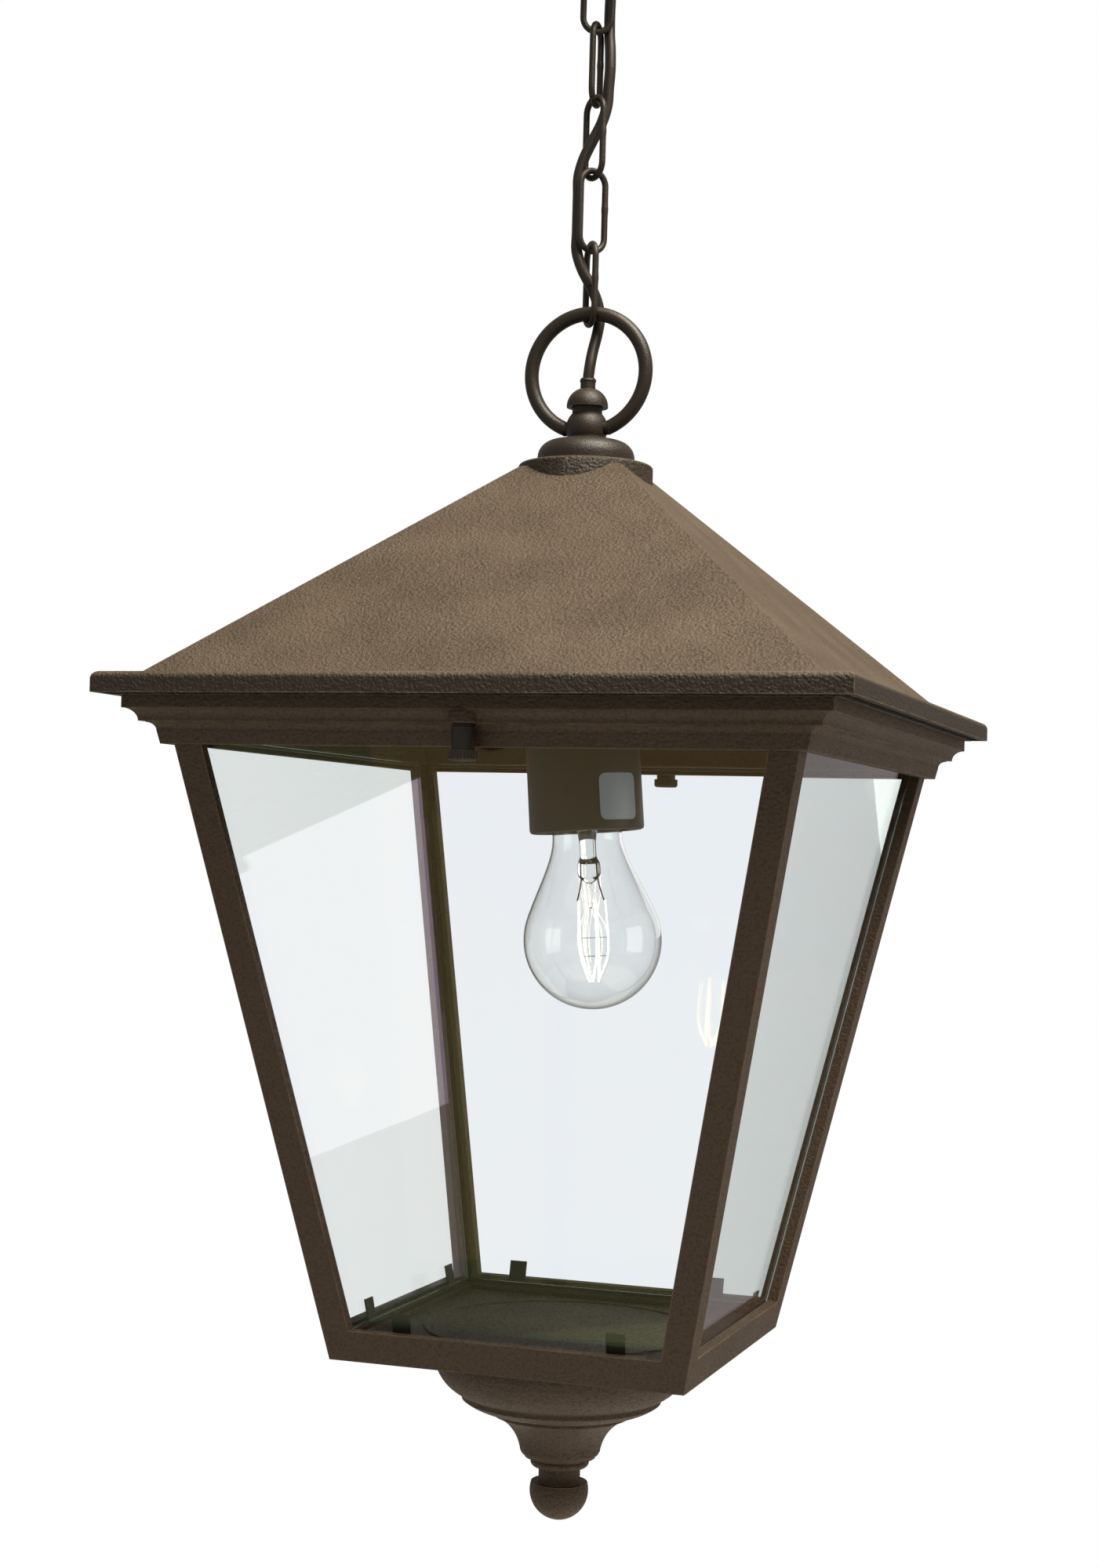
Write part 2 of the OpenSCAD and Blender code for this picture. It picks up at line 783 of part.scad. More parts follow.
// Eight spring clips: a leaf against the pane near each lower and upper corner
module pane_clips() {
    inside = -pane_inset - glass_t;
    foot = (sill_top + cornice_h) / cos(taper_angle);
    color(steel) at_eaves() for (i = [0:3]) on_face(i) {
        for (x = [-1, 1]) translate([x * (cage_bottom_half - 30), foot + 1.6, inside - 0.9])
            translate([-4, 0, 0]) cube([8, 9, 0.8]);
    }
}

module floor_plate() {
    half = cage_half(sill_top) - frame_wall - 4.5 - 0.4;
    color(bronze) at_eaves() difference() {
        union() {
            block_between(half, floor_top - plate_t, floor_top);
            rod(half - 8, floor_top - plate_t, floor_top + 0.8);
        }
        rod(half - 9.5, floor_top, floor_top + 2);
        rod(9, floor_top - plate_t - 1, floor_top - plate_t + 0.6);
    }
}

// ---- Finial ----

module bowl_outline() {
    upper_r = 18.8;
    lower_r = 22;
    flange_z = cage_bottom - 4;
    difference() {
        union() {
            translate([0, flange_z]) square([bowl_r, 4]);
            intersection() {
                translate([bowl_r - upper_r, flange_z]) circle(r = upper_r);
                translate([0, bead_z]) square([bowl_r, flange_z - bead_z]);
            }
            translate([0, bead_z]) square([bowl_r - upper_r, flange_z - bead_z]);
            translate([0, bead_z - 1.5]) square([bead_r, 1.5]);
            intersection() {
                translate([bead_r - 13.2, bead_z + 15.4]) circle(r = lower_r);
                translate([0, bead_z - 8]) square([bead_r, 6.6]);
            }
            translate([0, lip_z]) square([30, bead_z - 1.4 - lip_z]);
            translate([0, lip_z - 2.6]) square([15.4, 3]);
            translate([15.4, lip_z]) intersection() {
                circle(r = 1.7);
                translate([0, -1.7]) square([1.7, 3]);
            }
        }
        translate([lip_r + 19.9, lip_z - 3]) circle(r = 19.9);
        translate([30, lip_z - 10]) square([40, bead_z - 7.2 - lip_z + 10]);
    }
}

module finial_bowl() {
    color(bronze) at_eaves() difference() {
        rotate_extrude() bowl_outline();
        tube(bowl_r - 8, stud_r + 5, bead_z + 8, cage_bottom + 1);
        rod(stud_r + fit, lip_z - 5, cage_bottom + 1);
    }
}

module finial_ball() {
    bead = 2.2;
    top = lip_z - 2.6;
    color(bronze) at_eaves() {
        rotate_extrude() {
            translate([0, top - 2 * bead]) square([finial_ball_r - bead, 2 * bead]);
            translate([finial_ball_r - bead, top - bead]) circle(r = bead);
        }
        rod(finial_neck_r, finial_ball_z, top - 2);
        translate([0, 0, finial_ball_z]) intersection() {
            sphere(r = finial_ball_r);
            rod(finial_ball_r, -finial_ball_r, 3.5);
        }
        rod(stud_r, top - 1, stud_top + 1);
    }
}

module finial_nut() {
    low = cage_bottom + floor_t;
    color(steel) at_eaves() difference() {
        translate([0, 0, low]) cylinder(r = 6.6, h = 1.2, $fn = 6);
        rod(stud_r + fit / 2, low - 1, low + 4);
    }
}

// ---- Thumb screws ----

// A soft washer rides up and down on each screw, under its boss
module screw_washer() {
    color(black) at_eaves() translate([0, -screw_y, 0])
        tube(screw_neck_r - 0.3, screw_thread_r + running, cove_bottom - play - washer_t, cove_bottom - play);
}

module thumb_screw() {
    flutes = 24;
    chamfer = 0.8;
    top = cove_bottom - play - washer_t - play;
    foot = screw_neck_end - screw_head_h;
    color(dark_bronze) at_eaves() translate([0, -screw_y, 0]) {
        rod(screw_thread_r, top - 1, skirt_h - 2);
        rod(screw_neck_r, screw_neck_end - 1, top);
        difference() {
            union() {
                rod(screw_head_r, foot + chamfer, screw_neck_end);
                translate([0, 0, foot]) cylinder(r1 = screw_head_r - chamfer, r2 = screw_head_r, h = chamfer);
            }
            for (k = [0:flutes - 1]) rotate([0, 0, 360 * k / flutes]) translate([screw_head_r + 0.2, 0, 0])
                rod(0.5, foot - 1, screw_neck_end + 1);
        }
    }
}

ceiling_strap();
ceiling_cup();
ceiling_hook();
hook_nuts();
cable_grommet();
terminal_block();
chain_link(0);  // chain_link_1
chain_link(1);  // chain_link_2
chain_link(2);  // chain_link_3
chain_link(3);  // chain_link_4
chain_link(4);  // chain_link_5
cable(0);  // cable_1
cable(1);  // cable_2
cable(2);  // cable_3
cable(3);  // cable_4
cable(4);  // cable_5
cable(5);  // cable_6
cable(6);  // cable_7
carrying_ring();
neck();
gland_nut();
gland_seal();
cap_disc();
neck_lock_nut();
roof_shell();
roof_seal();
holder_strap();
strap_screws();
holder_nipple();
nipple_nut();
holder_cover();
holder_skirt();
holder_insert();
screw_shell();
holder_contact();
rating_label();
live_wire();
neutral_wire();
bulb_glass();
bulb_cap();
bulb_tip();
bulb_stem();
bulb_wires();
filament();
cornice();
cage_frame();
frame_screws();
pane(0);  // pane_front
pane(1);  // pane_right
pane(2);  // pane_back
pane(3);  // pane_left
pane_clips();
floor_plate();
finial_bowl();
finial_ball();
finial_nut();
screw_washer();  // screw_washer_front
thumb_screw();  // thumb_screw_front
rotate([0, 0, 180]) screw_washer();  // screw_washer_back
rotate([0, 0, 180]) thumb_screw();  // thumb_screw_back
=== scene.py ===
"""Hanging lantern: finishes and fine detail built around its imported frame.

Lengths are metres in the frame's own axes: +Z up, the front pane towards -Y, and the origin in
the ceiling face. Sizes in the classes below are millimetres, as on a maker's drawing.
"""

import json
import logging
import math
from dataclasses import dataclass
from enum import Enum

import bmesh
import bpy
import numpy as np
from mathutils import Matrix, Vector


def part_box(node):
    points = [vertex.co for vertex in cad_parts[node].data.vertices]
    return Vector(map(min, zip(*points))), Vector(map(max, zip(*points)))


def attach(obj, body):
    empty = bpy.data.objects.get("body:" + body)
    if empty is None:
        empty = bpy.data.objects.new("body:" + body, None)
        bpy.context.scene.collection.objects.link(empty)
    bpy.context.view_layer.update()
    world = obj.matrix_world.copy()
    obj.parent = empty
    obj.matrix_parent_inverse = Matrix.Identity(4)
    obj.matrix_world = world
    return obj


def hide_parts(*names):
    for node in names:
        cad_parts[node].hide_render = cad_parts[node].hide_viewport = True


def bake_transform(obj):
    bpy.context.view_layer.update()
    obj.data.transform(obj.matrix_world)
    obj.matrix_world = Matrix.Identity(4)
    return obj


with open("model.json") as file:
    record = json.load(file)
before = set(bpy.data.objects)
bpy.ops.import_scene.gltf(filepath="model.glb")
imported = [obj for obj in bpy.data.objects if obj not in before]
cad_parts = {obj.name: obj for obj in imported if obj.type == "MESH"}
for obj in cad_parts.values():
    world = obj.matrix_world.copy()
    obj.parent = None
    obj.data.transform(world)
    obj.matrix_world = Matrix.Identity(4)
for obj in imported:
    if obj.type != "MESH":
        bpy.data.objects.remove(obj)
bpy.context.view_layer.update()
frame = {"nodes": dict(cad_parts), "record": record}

MM = 0.001
log = logging.getLogger("lantern")


# ---- Surfaces ----


def mesh_object(name: str, points: np.ndarray, faces: list, smooth_below: float = 40.0) -> bpy.types.Object:
    """Makes an object from points and faces, with its faces turned outwards.

    Args:
        name: the piece's name.
        points: an array of n points, in metres.
        faces: tuples of point numbers.
        smooth_below: edges that turn less than this many degrees are shaded smooth.
    Returns:
        The new object, at the origin.
    """
    mesh = bpy.data.meshes.new(name)
    mesh.from_pydata(points.tolist(), [], faces)
    tidy = bmesh.new()
    tidy.from_mesh(mesh)
    bmesh.ops.remove_doubles(tidy, verts=tidy.verts, dist=1e-7)
    bmesh.ops.recalc_face_normals(tidy, faces=tidy.faces)
    tidy.to_mesh(mesh)
    tidy.free()
    mesh.shade_smooth()
    mesh.set_sharp_from_angle(angle=math.radians(smooth_below))
    obj = bpy.data.objects.new(name, mesh)
    bpy.context.collection.objects.link(obj)
    return obj


def grid_faces(rows: int, columns: int, close_rows: bool, close_columns: bool) -> np.ndarray:
    """Quads of a grid of rows x columns points, joined round where a direction is closed."""
    r = np.arange(rows if close_rows else rows - 1)[:, None]
    c = np.arange(columns if close_columns else columns - 1)[None, :]
    r2, c2 = (r + 1) % rows, (c + 1) % columns
    corners = (r * columns + c, r * columns + c2, r2 * columns + c2, r2 * columns + c)
    return np.stack([np.broadcast_to(k, (r.size, c.size)) for k in corners], -1).reshape(-1, 4)


def skin(
    name: str, grid: np.ndarray, close_rows: bool = False, caps: bool = True, smooth_below: float = 40.0
) -> bpy.types.Object:
    """A closed skin over rings of points: grid is rings x points x 3, each ring closed on itself.

    Args:
        name: the piece's name.
        grid: the points, ring by ring.
        close_rows: True joins the last ring to the first, as on a chain link.
        caps: True closes each open end with one face.
        smooth_below: edges that turn less than this many degrees are shaded smooth.
    Returns:
        The new object.
    """
    rings, around = grid.shape[:2]
    faces = [tuple(f) for f in grid_faces(rings, around, close_rows, True).tolist()]
    if caps and not close_rows:
        faces += [tuple(range(around)), tuple(range((rings - 1) * around, rings * around))]
    return mesh_object(name, grid.reshape(-1, 3), faces, smooth_below)


def filleted(corners: list, steps: int = 6) -> np.ndarray:
    """A profile with its corners eased, as points of (radius, height).

    Each corner P with easing d gives the curve (1-t)^2 A + 2t(1-t) P + t^2 B, where A and B lie d
    from P along its two edges.

    Args:
        corners: (radius, height, easing) of each corner in order, in millimetres.
        steps: points on each eased corner.
    Returns:
        An array of points, in millimetres.
    """
    table = np.array(corners, float)
    p, d = table[:, :2], table[:, 2:]
    before, after = np.roll(p, 1, 0) - p, np.roll(p, -1, 0) - p
    a = p + before / np.maximum(np.linalg.norm(before, axis=1, keepdims=True), 1e-9) * d
    b = p + after / np.maximum(np.linalg.norm(after, axis=1, keepdims=True), 1e-9) * d
    t = np.linspace(0, 1, steps)[None, :, None]
    curve = (1 - t) ** 2 * a[:, None] + 2 * t * (1 - t) * p[:, None] + t**2 * b[:, None]
    flat = curve.reshape(-1, 2)
    keep = np.r_[True, np.linalg.norm(np.diff(flat, axis=0), axis=1) > 1e-4]
    return flat[keep]


def turned(
    name: str,
    profile: np.ndarray,
    around: int = 72,
    wave: "np.ndarray | None" = None,
    smooth_below: float = 40.0,
) -> bpy.types.Object:
    """A solid of revolution: each profile point (r, z) becomes the ring (r cos a, r sin a, z).

    Args:
        name: the piece's name.
        profile: points of (radius, height) in millimetres; its first and last point are joined.
        around: points on each ring.
        wave: what is added to the radius, profile points x around, in millimetres.
        smooth_below: edges that turn less than this many degrees are shaded smooth.
    Returns:
        The new object, standing on the Z axis.
    """
    a = np.linspace(0, 2 * np.pi, around, endpoint=False)[None, :]
    r = profile[:, :1] + (0 if wave is None else wave)
    z = np.broadcast_to(profile[:, 1:2], (len(profile), around))
    grid = np.stack([r * np.cos(a), r * np.sin(a), z], -1) * MM
    return skin(name, grid, close_rows=True, smooth_below=smooth_below)


def smooth_line(points: np.ndarray, steps: int) -> np.ndarray:
    """A Catmull-Rom curve through points: steps points on each span, and the last point."""
    p = np.vstack([2 * points[0] - points[1], points, 2 * points[-1] - points[-2]])
    p0, p1, p2, p3 = (p[k : len(p) - 3 + k, None] for k in range(4))
    t = np.linspace(0, 1, steps, endpoint=False)[None, :, None]
    square_term = 2 * p0 - 5 * p1 + 4 * p2 - p3
    cube_term = 3 * p1 - p0 - 3 * p2 + p3
    cubic = 2 * p1 + (p2 - p0) * t + square_term * t**2 + cube_term * t**3
    return np.vstack([(cubic / 2).reshape(-1, points.shape[1]), points[-1:]])


def swept(
    name: str,
    path: np.ndarray,
    radius: "float | np.ndarray",
    sides: int = 16,
    side_on: tuple = (0, 1, 0),
    closed: bool = False,
) -> bpy.types.Object:
    """A round wire along a path: ring points are p + r (cos a u + sin a v), with u and v square to it.

    Args:
        name: the piece's name.
        path: its centre line, in metres.
        radius: one radius, or one for each point, in metres.
        sides: points on each ring.
        side_on: a direction that the path is never parallel to.
        closed: True for a loop.
    Returns:
        The new object.
    """
    if closed:
        along = np.roll(path, -1, 0) - np.roll(path, 1, 0)
    else:
        along = np.gradient(path, axis=0)
    along = along / np.linalg.norm(along, axis=1, keepdims=True)
    u = np.cross(along, np.array(side_on, float))
    u /= np.linalg.norm(u, axis=1, keepdims=True)
    v = np.cross(along, u)
    a = np.linspace(0, 2 * np.pi, sides, endpoint=False)[None, :, None]
    r = np.broadcast_to(np.asarray(radius, float), (len(path),))[:, None, None]
    round_wire = r * (np.cos(a) * u[:, None] + np.sin(a) * v[:, None])
    return skin(name, path[:, None] + round_wire, close_rows=closed)


def joined(name: str, parts: list) -> bpy.types.Object:
    """Several objects made one, with their shapes kept where they are."""
    whole = bmesh.new()
    for part in parts:
        whole.from_mesh(part.data)
        bpy.data.objects.remove(part)
    mesh = bpy.data.meshes.new(name)
    whole.to_mesh(mesh)
    whole.free()
    mesh.set_sharp_from_angle(angle=math.radians(40))
    obj = bpy.data.objects.new(name, mesh)
    bpy.context.collection.objects.link(obj)
    return obj


def placed(obj: bpy.types.Object, place: Matrix) -> bpy.types.Object:
    """The object with a placing worked into its mesh."""
    obj.data.transform(place)
    return obj


def body_of_node(node: str) -> str:
    """The body that a frame node belongs to."""
    bodies = frame["record"]["behaviour"]["bodies"]
    return next(name for name, nodes in bodies.items() if node in nodes)


def stands_for(obj: bpy.types.Object, *nodes: str) -> bpy.types.Object:
    """The object takes the place of frame nodes, and moves with their body."""
    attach(obj, body_of_node(nodes[0]))
    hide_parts(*nodes)
    return obj


def eased(node: str, width: float, flat_below: float = 25.0) -> bpy.types.Object:
    """A copy of a frame node, with its sharp edges rounded as a casting's are.

    Args:
        node: the frame node that the copy stands for.
        width: how far each edge is eased, in millimetres.
        flat_below: edges that turn less than this many degrees are left alone.
    Returns:
        The copy.
    """
    mesh = frame["nodes"][node].data.copy()
    mesh.materials.clear()
    merge = bmesh.new()
    merge.from_mesh(mesh)
    bmesh.ops.remove_doubles(merge, verts=merge.verts, dist=2e-6)
    bmesh.ops.dissolve_limit(
        merge,
        angle_limit=math.radians(0.5),
        verts=merge.verts,
        edges=merge.edges,
        use_dissolve_boundaries=False,
    )
    merge.to_mesh(mesh)
    merge.free()
    mesh.shade_smooth()
    mesh.set_sharp_from_angle(angle=math.radians(flat_below))
    obj = bpy.data.objects.new(node + "_cast", mesh)
    bpy.context.collection.objects.link(obj)
    round_over = obj.modifiers.new("round_over", "BEVEL")
    round_over.width = width * MM
    round_over.segments = 2
    round_over.limit_method = "ANGLE"
    round_over.angle_limit = math.radians(flat_below)
    round_over.harden_normals = True
    return stands_for(obj, node)


# ---- Finishes ----


class Tree:
    """A node tree being wired up."""

    def __init__(self, tree: bpy.types.NodeTree) -> None:
        """Takes the tree to add nodes to."""
        self.tree = tree

    def add(self, kind: str, *, settings: "dict | None" = None, **inputs: object) -> bpy.types.Node:
        """Adds a node.

        Args:
            kind: the node's type, without its ShaderNode prefix.
            settings: properties of the node.
            **inputs: a value or an output for each input, named with underscores for spaces.
        Returns:
            The node.
        """
        node = self.tree.nodes.new("ShaderNode" + kind)
        for key, value in (settings or {}).items():
            setattr(node, key, value)
        for key, value in inputs.items():
            self.set(node.inputs[key.replace("_", " ")], value)
        return node

    def set(self, socket: bpy.types.NodeSocket, value: object) -> None:
        """Links an output to a socket, or gives the socket a value."""
        if isinstance(value, bpy.types.NodeSocket):
            self.tree.links.new(value, socket)
        else:
            socket.default_value = value

    def math(
        self, operation: str, first: object, second: object = 0.0, clamp: bool = False
    ) -> bpy.types.NodeSocket:
        """One step of arithmetic on two values."""
        node = self.add("Math", settings={"operation": operation, "use_clamp": clamp})
        self.set(node.inputs[0], first)
        self.set(node.inputs[1], second)
        return node.outputs[0]

    def mix(self, factor: object, first: object, second: object) -> bpy.types.NodeSocket:
        """A colour between two colours."""
        node = self.add("Mix", settings={"data_type": "RGBA"})
        self.set(node.inputs[0], factor)
        self.set(node.inputs[6], first)
        self.set(node.inputs[7], second)
        return node.outputs[2]

    def spread(
        self, value: object, low: float, high: float, to_low: float = 0.0, to_high: float = 1.0
    ) -> bpy.types.NodeSocket:
        """Carries a value from one range to another, and holds it there."""
        node = self.add("MapRange", Value=value, From_Min=low, From_Max=high, To_Min=to_low, To_Max=to_high)
        return node.outputs[0]


def effect(name: str, inputs: dict, outputs: dict) -> "tuple[Tree, bpy.types.Node, bpy.types.Node]":
    """Starts a shader node group.

    Args:
        name: the group's name.
        inputs: each input's name and default value.
        outputs: each output's name and kind, "Float" or "Color".
    Returns:
        The tree, its input node and its output node.
    """
    group = bpy.data.node_groups.new(name, "ShaderNodeTree")
    for key, value in inputs.items():
        group.interface.new_socket(key, in_out="INPUT", socket_type="NodeSocketFloat").default_value = value
    for key, kind in outputs.items():
        group.interface.new_socket(key, in_out="OUTPUT", socket_type="NodeSocket" + kind)
    tree = Tree(group)
    return tree, group.nodes.new("NodeGroupInput"), group.nodes.new("NodeGroupOutput")


def edge_wear_group() -> bpy.types.NodeTree:
    """Edges rubbed bright: where a rounded normal leaves the true one, broken up by a slow noise."""
    tree, given, result = effect("edge_wear", {"Width": 0.001, "Patch": 60.0}, {"Mask": "Float"})
    rounded = tree.add("Bevel", settings={"samples": 6}, Radius=given.outputs["Width"])
    true = tree.add("NewGeometry")
    dot = tree.add("VectorMath", settings={"operation": "DOT_PRODUCT"})
    tree.set(dot.inputs[0], rounded.outputs[0])
    tree.set(dot.inputs[1], true.outputs["Normal"])
    edge = tree.spread(tree.math("SUBTRACT", 1.0, dot.outputs["Value"]), 0.03, 0.28)
    where = tree.add("TexCoord").outputs["Object"]
    patch = tree.add("TexNoise", Vector=where, Scale=given.outputs["Patch"], Detail=4.0)
    broken = tree.spread(patch.outputs[0], 0.35, 0.62, 0.25, 1.0)
    tree.set(result.inputs["Mask"], tree.math("MULTIPLY", edge, broken))
    return tree.tree


def orange_peel_group() -> bpy.types.NodeTree:
    """A textured coat: small rounded grains over a slow swell, with the hollows between them marked, for
    painted shade and roughness.
    """
    tree, given, result = effect("orange_peel", {"Grains": 1100.0}, {"Height": "Float", "Pits": "Float"})
    where = tree.add("TexCoord").outputs["Object"]
    fine = tree.add("TexNoise", Vector=where, Scale=given.outputs["Grains"], Detail=3.0, Roughness=0.6)
    cells = tree.add("TexVoronoi", Vector=where, Scale=tree.math("MULTIPLY", given.outputs["Grains"], 0.8))
    swell = tree.math("MULTIPLY", given.outputs["Grains"], 0.12)
    slow = tree.add("TexNoise", Vector=where, Scale=swell, Detail=2.0)
    raised = tree.math("MULTIPLY", fine.outputs[0], 1.4)
    grains = tree.math("SUBTRACT", raised, tree.math("MULTIPLY", cells.outputs[0], 0.5))
    tree.set(result.inputs["Height"], tree.math("ADD", grains, tree.math("MULTIPLY", slow.outputs[0], 0.5)))
    tree.set(result.inputs["Pits"], tree.spread(fine.outputs[0], 0.50, 0.40))
    return tree.tree


def cloud_group() -> bpy.types.NodeTree:
    """Slow variation over a surface, as handling and settling leave it."""
    tree, given, result = effect("cloud", {"Size": 20.0, "Contrast": 1.0}, {"Value": "Float"})
    where = tree.add("TexCoord").outputs["Object"]
    noise = tree.add("TexNoise", Vector=where, Scale=given.outputs["Size"], Detail=6.0, Roughness=0.6)
    centred = tree.math("MULTIPLY", tree.math("SUBTRACT", noise.outputs[0], 0.5), given.outputs["Contrast"])
    tree.set(result.inputs["Value"], tree.math("ADD", centred, 0.5, clamp=True))
    return tree.tree


def dust_group() -> bpy.types.NodeTree:
    """Dust that settles on what faces up, thinner where the noise is low, with a few stray specks."""
    tree, given, result = effect("dust", {"Amount": 0.3, "Specks": 260.0}, {"Mask": "Float"})
    normal = tree.add("SeparateXYZ", Vector=tree.add("NewGeometry").outputs["Normal"])
    where = tree.add("TexCoord").outputs["Object"]
    film = tree.add("TexNoise", Vector=where, Scale=35.0, Detail=5.0)
    upward = tree.spread(normal.outputs[2], 0.2, 1.0)
    lying = tree.math("MULTIPLY", upward, tree.spread(film.outputs[0], 0.35, 0.7))
    specks = tree.add("TexVoronoi", Vector=where, Scale=given.outputs["Specks"])
    spots = tree.math("MULTIPLY", tree.spread(specks.outputs[0], 0.09, 0.05), 1.4)
    total = tree.math("MULTIPLY", tree.math("ADD", lying, spots), given.outputs["Amount"], clamp=True)
    tree.set(result.inputs["Mask"], total)
    return tree.tree


class Effects:
    """The shared effects, each built once."""

    edge_wear = edge_wear_group()
    orange_peel = orange_peel_group()
    cloud = cloud_group()
    dust = dust_group()


class Finish:
    """A finish that can dress pieces; each kind fills in its own nodes."""

    name: str

    def material(self) -> bpy.types.Material:
        """The material, made the first time it is asked for."""
        found = bpy.data.materials.get("fine_" + self.name)
        if found:
            return found
        made = bpy.data.materials.new("fine_" + self.name)
        made.use_nodes = True
        made.node_tree.nodes.clear()
        tree = Tree(made.node_tree)
        shader = tree.add("BsdfPrincipled")
        tree.add("OutputMaterial", Surface=shader.outputs[0])
        self.fill(tree, shader)
        return made

    def fill(self, tree: Tree, shader: bpy.types.Node) -> None:
        """Wires the shader."""
        raise NotImplementedError

    def dress(self, *pieces: bpy.types.Object) -> None:
        """Gives pieces this finish."""
        for piece in pieces:
            piece.data.materials.clear()
            piece.data.materials.append(self.material())

    def group(self, tree: Tree, effect_tree: bpy.types.NodeTree, **values: float) -> bpy.types.Node:
        """Places a shared effect with its own values."""
        node = tree.tree.nodes.new("ShaderNodeGroup")
        node.node_tree = effect_tree
        for key, value in values.items():
            node.inputs[key].default_value = value
        return node

    def bump(
        self, tree: Tree, shader: bpy.types.Node, height: object, depth: float, strength: float
    ) -> None:
        """Feeds a height, in units of depth metres, to the shader's normal."""
        node = tree.add("Bump", Strength=strength, Distance=depth, Height=height)
        tree.set(shader.inputs["Normal"], node.outputs[0])


@dataclass(frozen=True)
class PowderCoat(Finish):
    """A baked, textured coat on metal, with painted shade in its pits, painted top light on upward faces
    where that is asked for, and rubbed bright along its edges.
    """

    name: str = "powder_coat"
    colour: tuple = (0.080, 0.049, 0.026, 1)
    deep: tuple = (0.030, 0.018, 0.009, 1)
    rubbed: tuple = (0.30, 0.22, 0.13, 1)
    roughness: float = 0.50
    grains: float = 820.0
    depth: float = 0.00085
    pit_shade: float = 0.45
    top_lit_colour: tuple = (0.088, 0.057, 0.031, 1)
    top_light: float = 0.0
    wear: float = 0.9
    edge: float = 0.0011
    dust: float = 0.25
    dust_colour: tuple = (0.27, 0.21, 0.14, 1)

    def fill(self, tree: Tree, shader: bpy.types.Node) -> None:
        """Colour from painted pit shade, painted top light, clouds, wear and dust; roughness and bump from
        the same grains.
        """
        peel = self.group(tree, Effects.orange_peel, Grains=self.grains)
        cloud = self.group(tree, Effects.cloud, Size=14.0, Contrast=1.3)
        wear = self.group(tree, Effects.edge_wear, Width=self.edge, Patch=70.0)
        dust = self.group(tree, Effects.dust, Amount=self.dust)
        upward = tree.add("SeparateXYZ", Vector=tree.add("NewGeometry").outputs["Normal"]).outputs[2]
        # Painted top light: faces that look upwards take the lighter colour, and steep and vertical faces
        # keep the darker base colour, as if the slopes were lit and the fascia shaded.
        top_lit_base = tree.mix(tree.spread(upward, 0.3, 0.65, 0.0, self.top_light), self.colour, self.top_lit_colour)
        lively = tree.mix(tree.math("MULTIPLY", cloud.outputs[0], 0.12), top_lit_base, self.deep)
        # Painted shade: the hollows between the coat's grains are darkened towards the deep colour.
        pit_shaded = tree.mix(tree.math("MULTIPLY", peel.outputs["Pits"], self.pit_shade), lively, self.deep)
        rubbed = tree.mix(tree.math("MULTIPLY", wear.outputs[0], self.wear), pit_shaded, self.rubbed)
        tree.set(shader.inputs["Base Color"], tree.mix(dust.outputs[0], rubbed, self.dust_colour))
        rough = tree.spread(cloud.outputs[0], 0.2, 0.8, self.roughness - 0.06, self.roughness + 0.08)
        rough_pits = tree.math("MULTIPLY", peel.outputs["Pits"], 0.2)
        tree.set(shader.inputs["Roughness"], tree.math("ADD", rough, rough_pits))
        self.bump(tree, shader, peel.outputs["Height"], self.depth, 0.8)


@dataclass(frozen=True)
class PlainMetal(Finish):
    """Bare or plated metal with fine marks from drawing, rolling or turning."""

    name: str = "plain_metal"
    colour: tuple = (0.55, 0.55, 0.53, 1)
    tarnish: tuple = (0.30, 0.29, 0.27, 1)
    roughness: float = 0.32
    marks: float = 900.0
    depth: float = 0.00004

    def fill(self, tree: Tree, shader: bpy.types.Node) -> None:
        """Tarnish in clouds, and long fine marks in the height and the roughness."""
        where = tree.add("TexCoord").outputs["Object"]
        stretched = tree.add("Mapping", Vector=where, Scale=(1.0, 1.0, 0.08))
        marks = tree.add("TexNoise", Vector=stretched.outputs[0], Scale=self.marks, Detail=4.0)
        cloud = self.group(tree, Effects.cloud, Size=60.0, Contrast=1.6)
        tree.set(shader.inputs["Base Color"], tree.mix(cloud.outputs[0], self.colour, self.tarnish))
        smooth, rough = self.roughness - 0.08, self.roughness + 0.12
        tree.set(shader.inputs["Roughness"], tree.spread(marks.outputs[0], 0.3, 0.7, smooth, rough))
        shader.inputs["Metallic"].default_value = 1.0
        self.bump(tree, shader, marks.outputs[0], self.depth, 0.5)


@dataclass(frozen=True)
class Moulded(Finish):
    """Moulded plastic, rubber or glazed ware, with a faint grain, slow clouds and a little dust."""

    name: str = "moulded"
    colour: tuple = (0.05, 0.05, 0.047, 1)
    shade: tuple = (0.03, 0.03, 0.028, 1)
    roughness: float = 0.5
    grains: float = 2200.0
    depth: float = 0.00005
    dust: float = 0.15
    dust_colour: tuple = (0.42, 0.41, 0.38, 1)
    coat: float = 0.0

    def fill(self, tree: Tree, shader: bpy.types.Node) -> None:
        """Clouded colour, dust, and a fine moulded grain."""
        peel = self.group(tree, Effects.orange_peel, Grains=self.grains)
        cloud = self.group(tree, Effects.cloud, Size=40.0, Contrast=1.2)
        dust = self.group(tree, Effects.dust, Amount=self.dust, Specks=330.0)
        base = tree.mix(cloud.outputs[0], self.colour, self.shade)
        tree.set(shader.inputs["Base Color"], tree.mix(dust.outputs[0], base, self.dust_colour))
        hollow, crest = self.roughness + 0.08, self.roughness - 0.05
        tree.set(shader.inputs["Roughness"], tree.spread(peel.outputs["Height"], 0.2, 0.9, hollow, crest))
        shader.inputs["Coat Weight"].default_value = self.coat
        self.bump(tree, shader, peel.outputs["Height"], self.depth, 0.4)


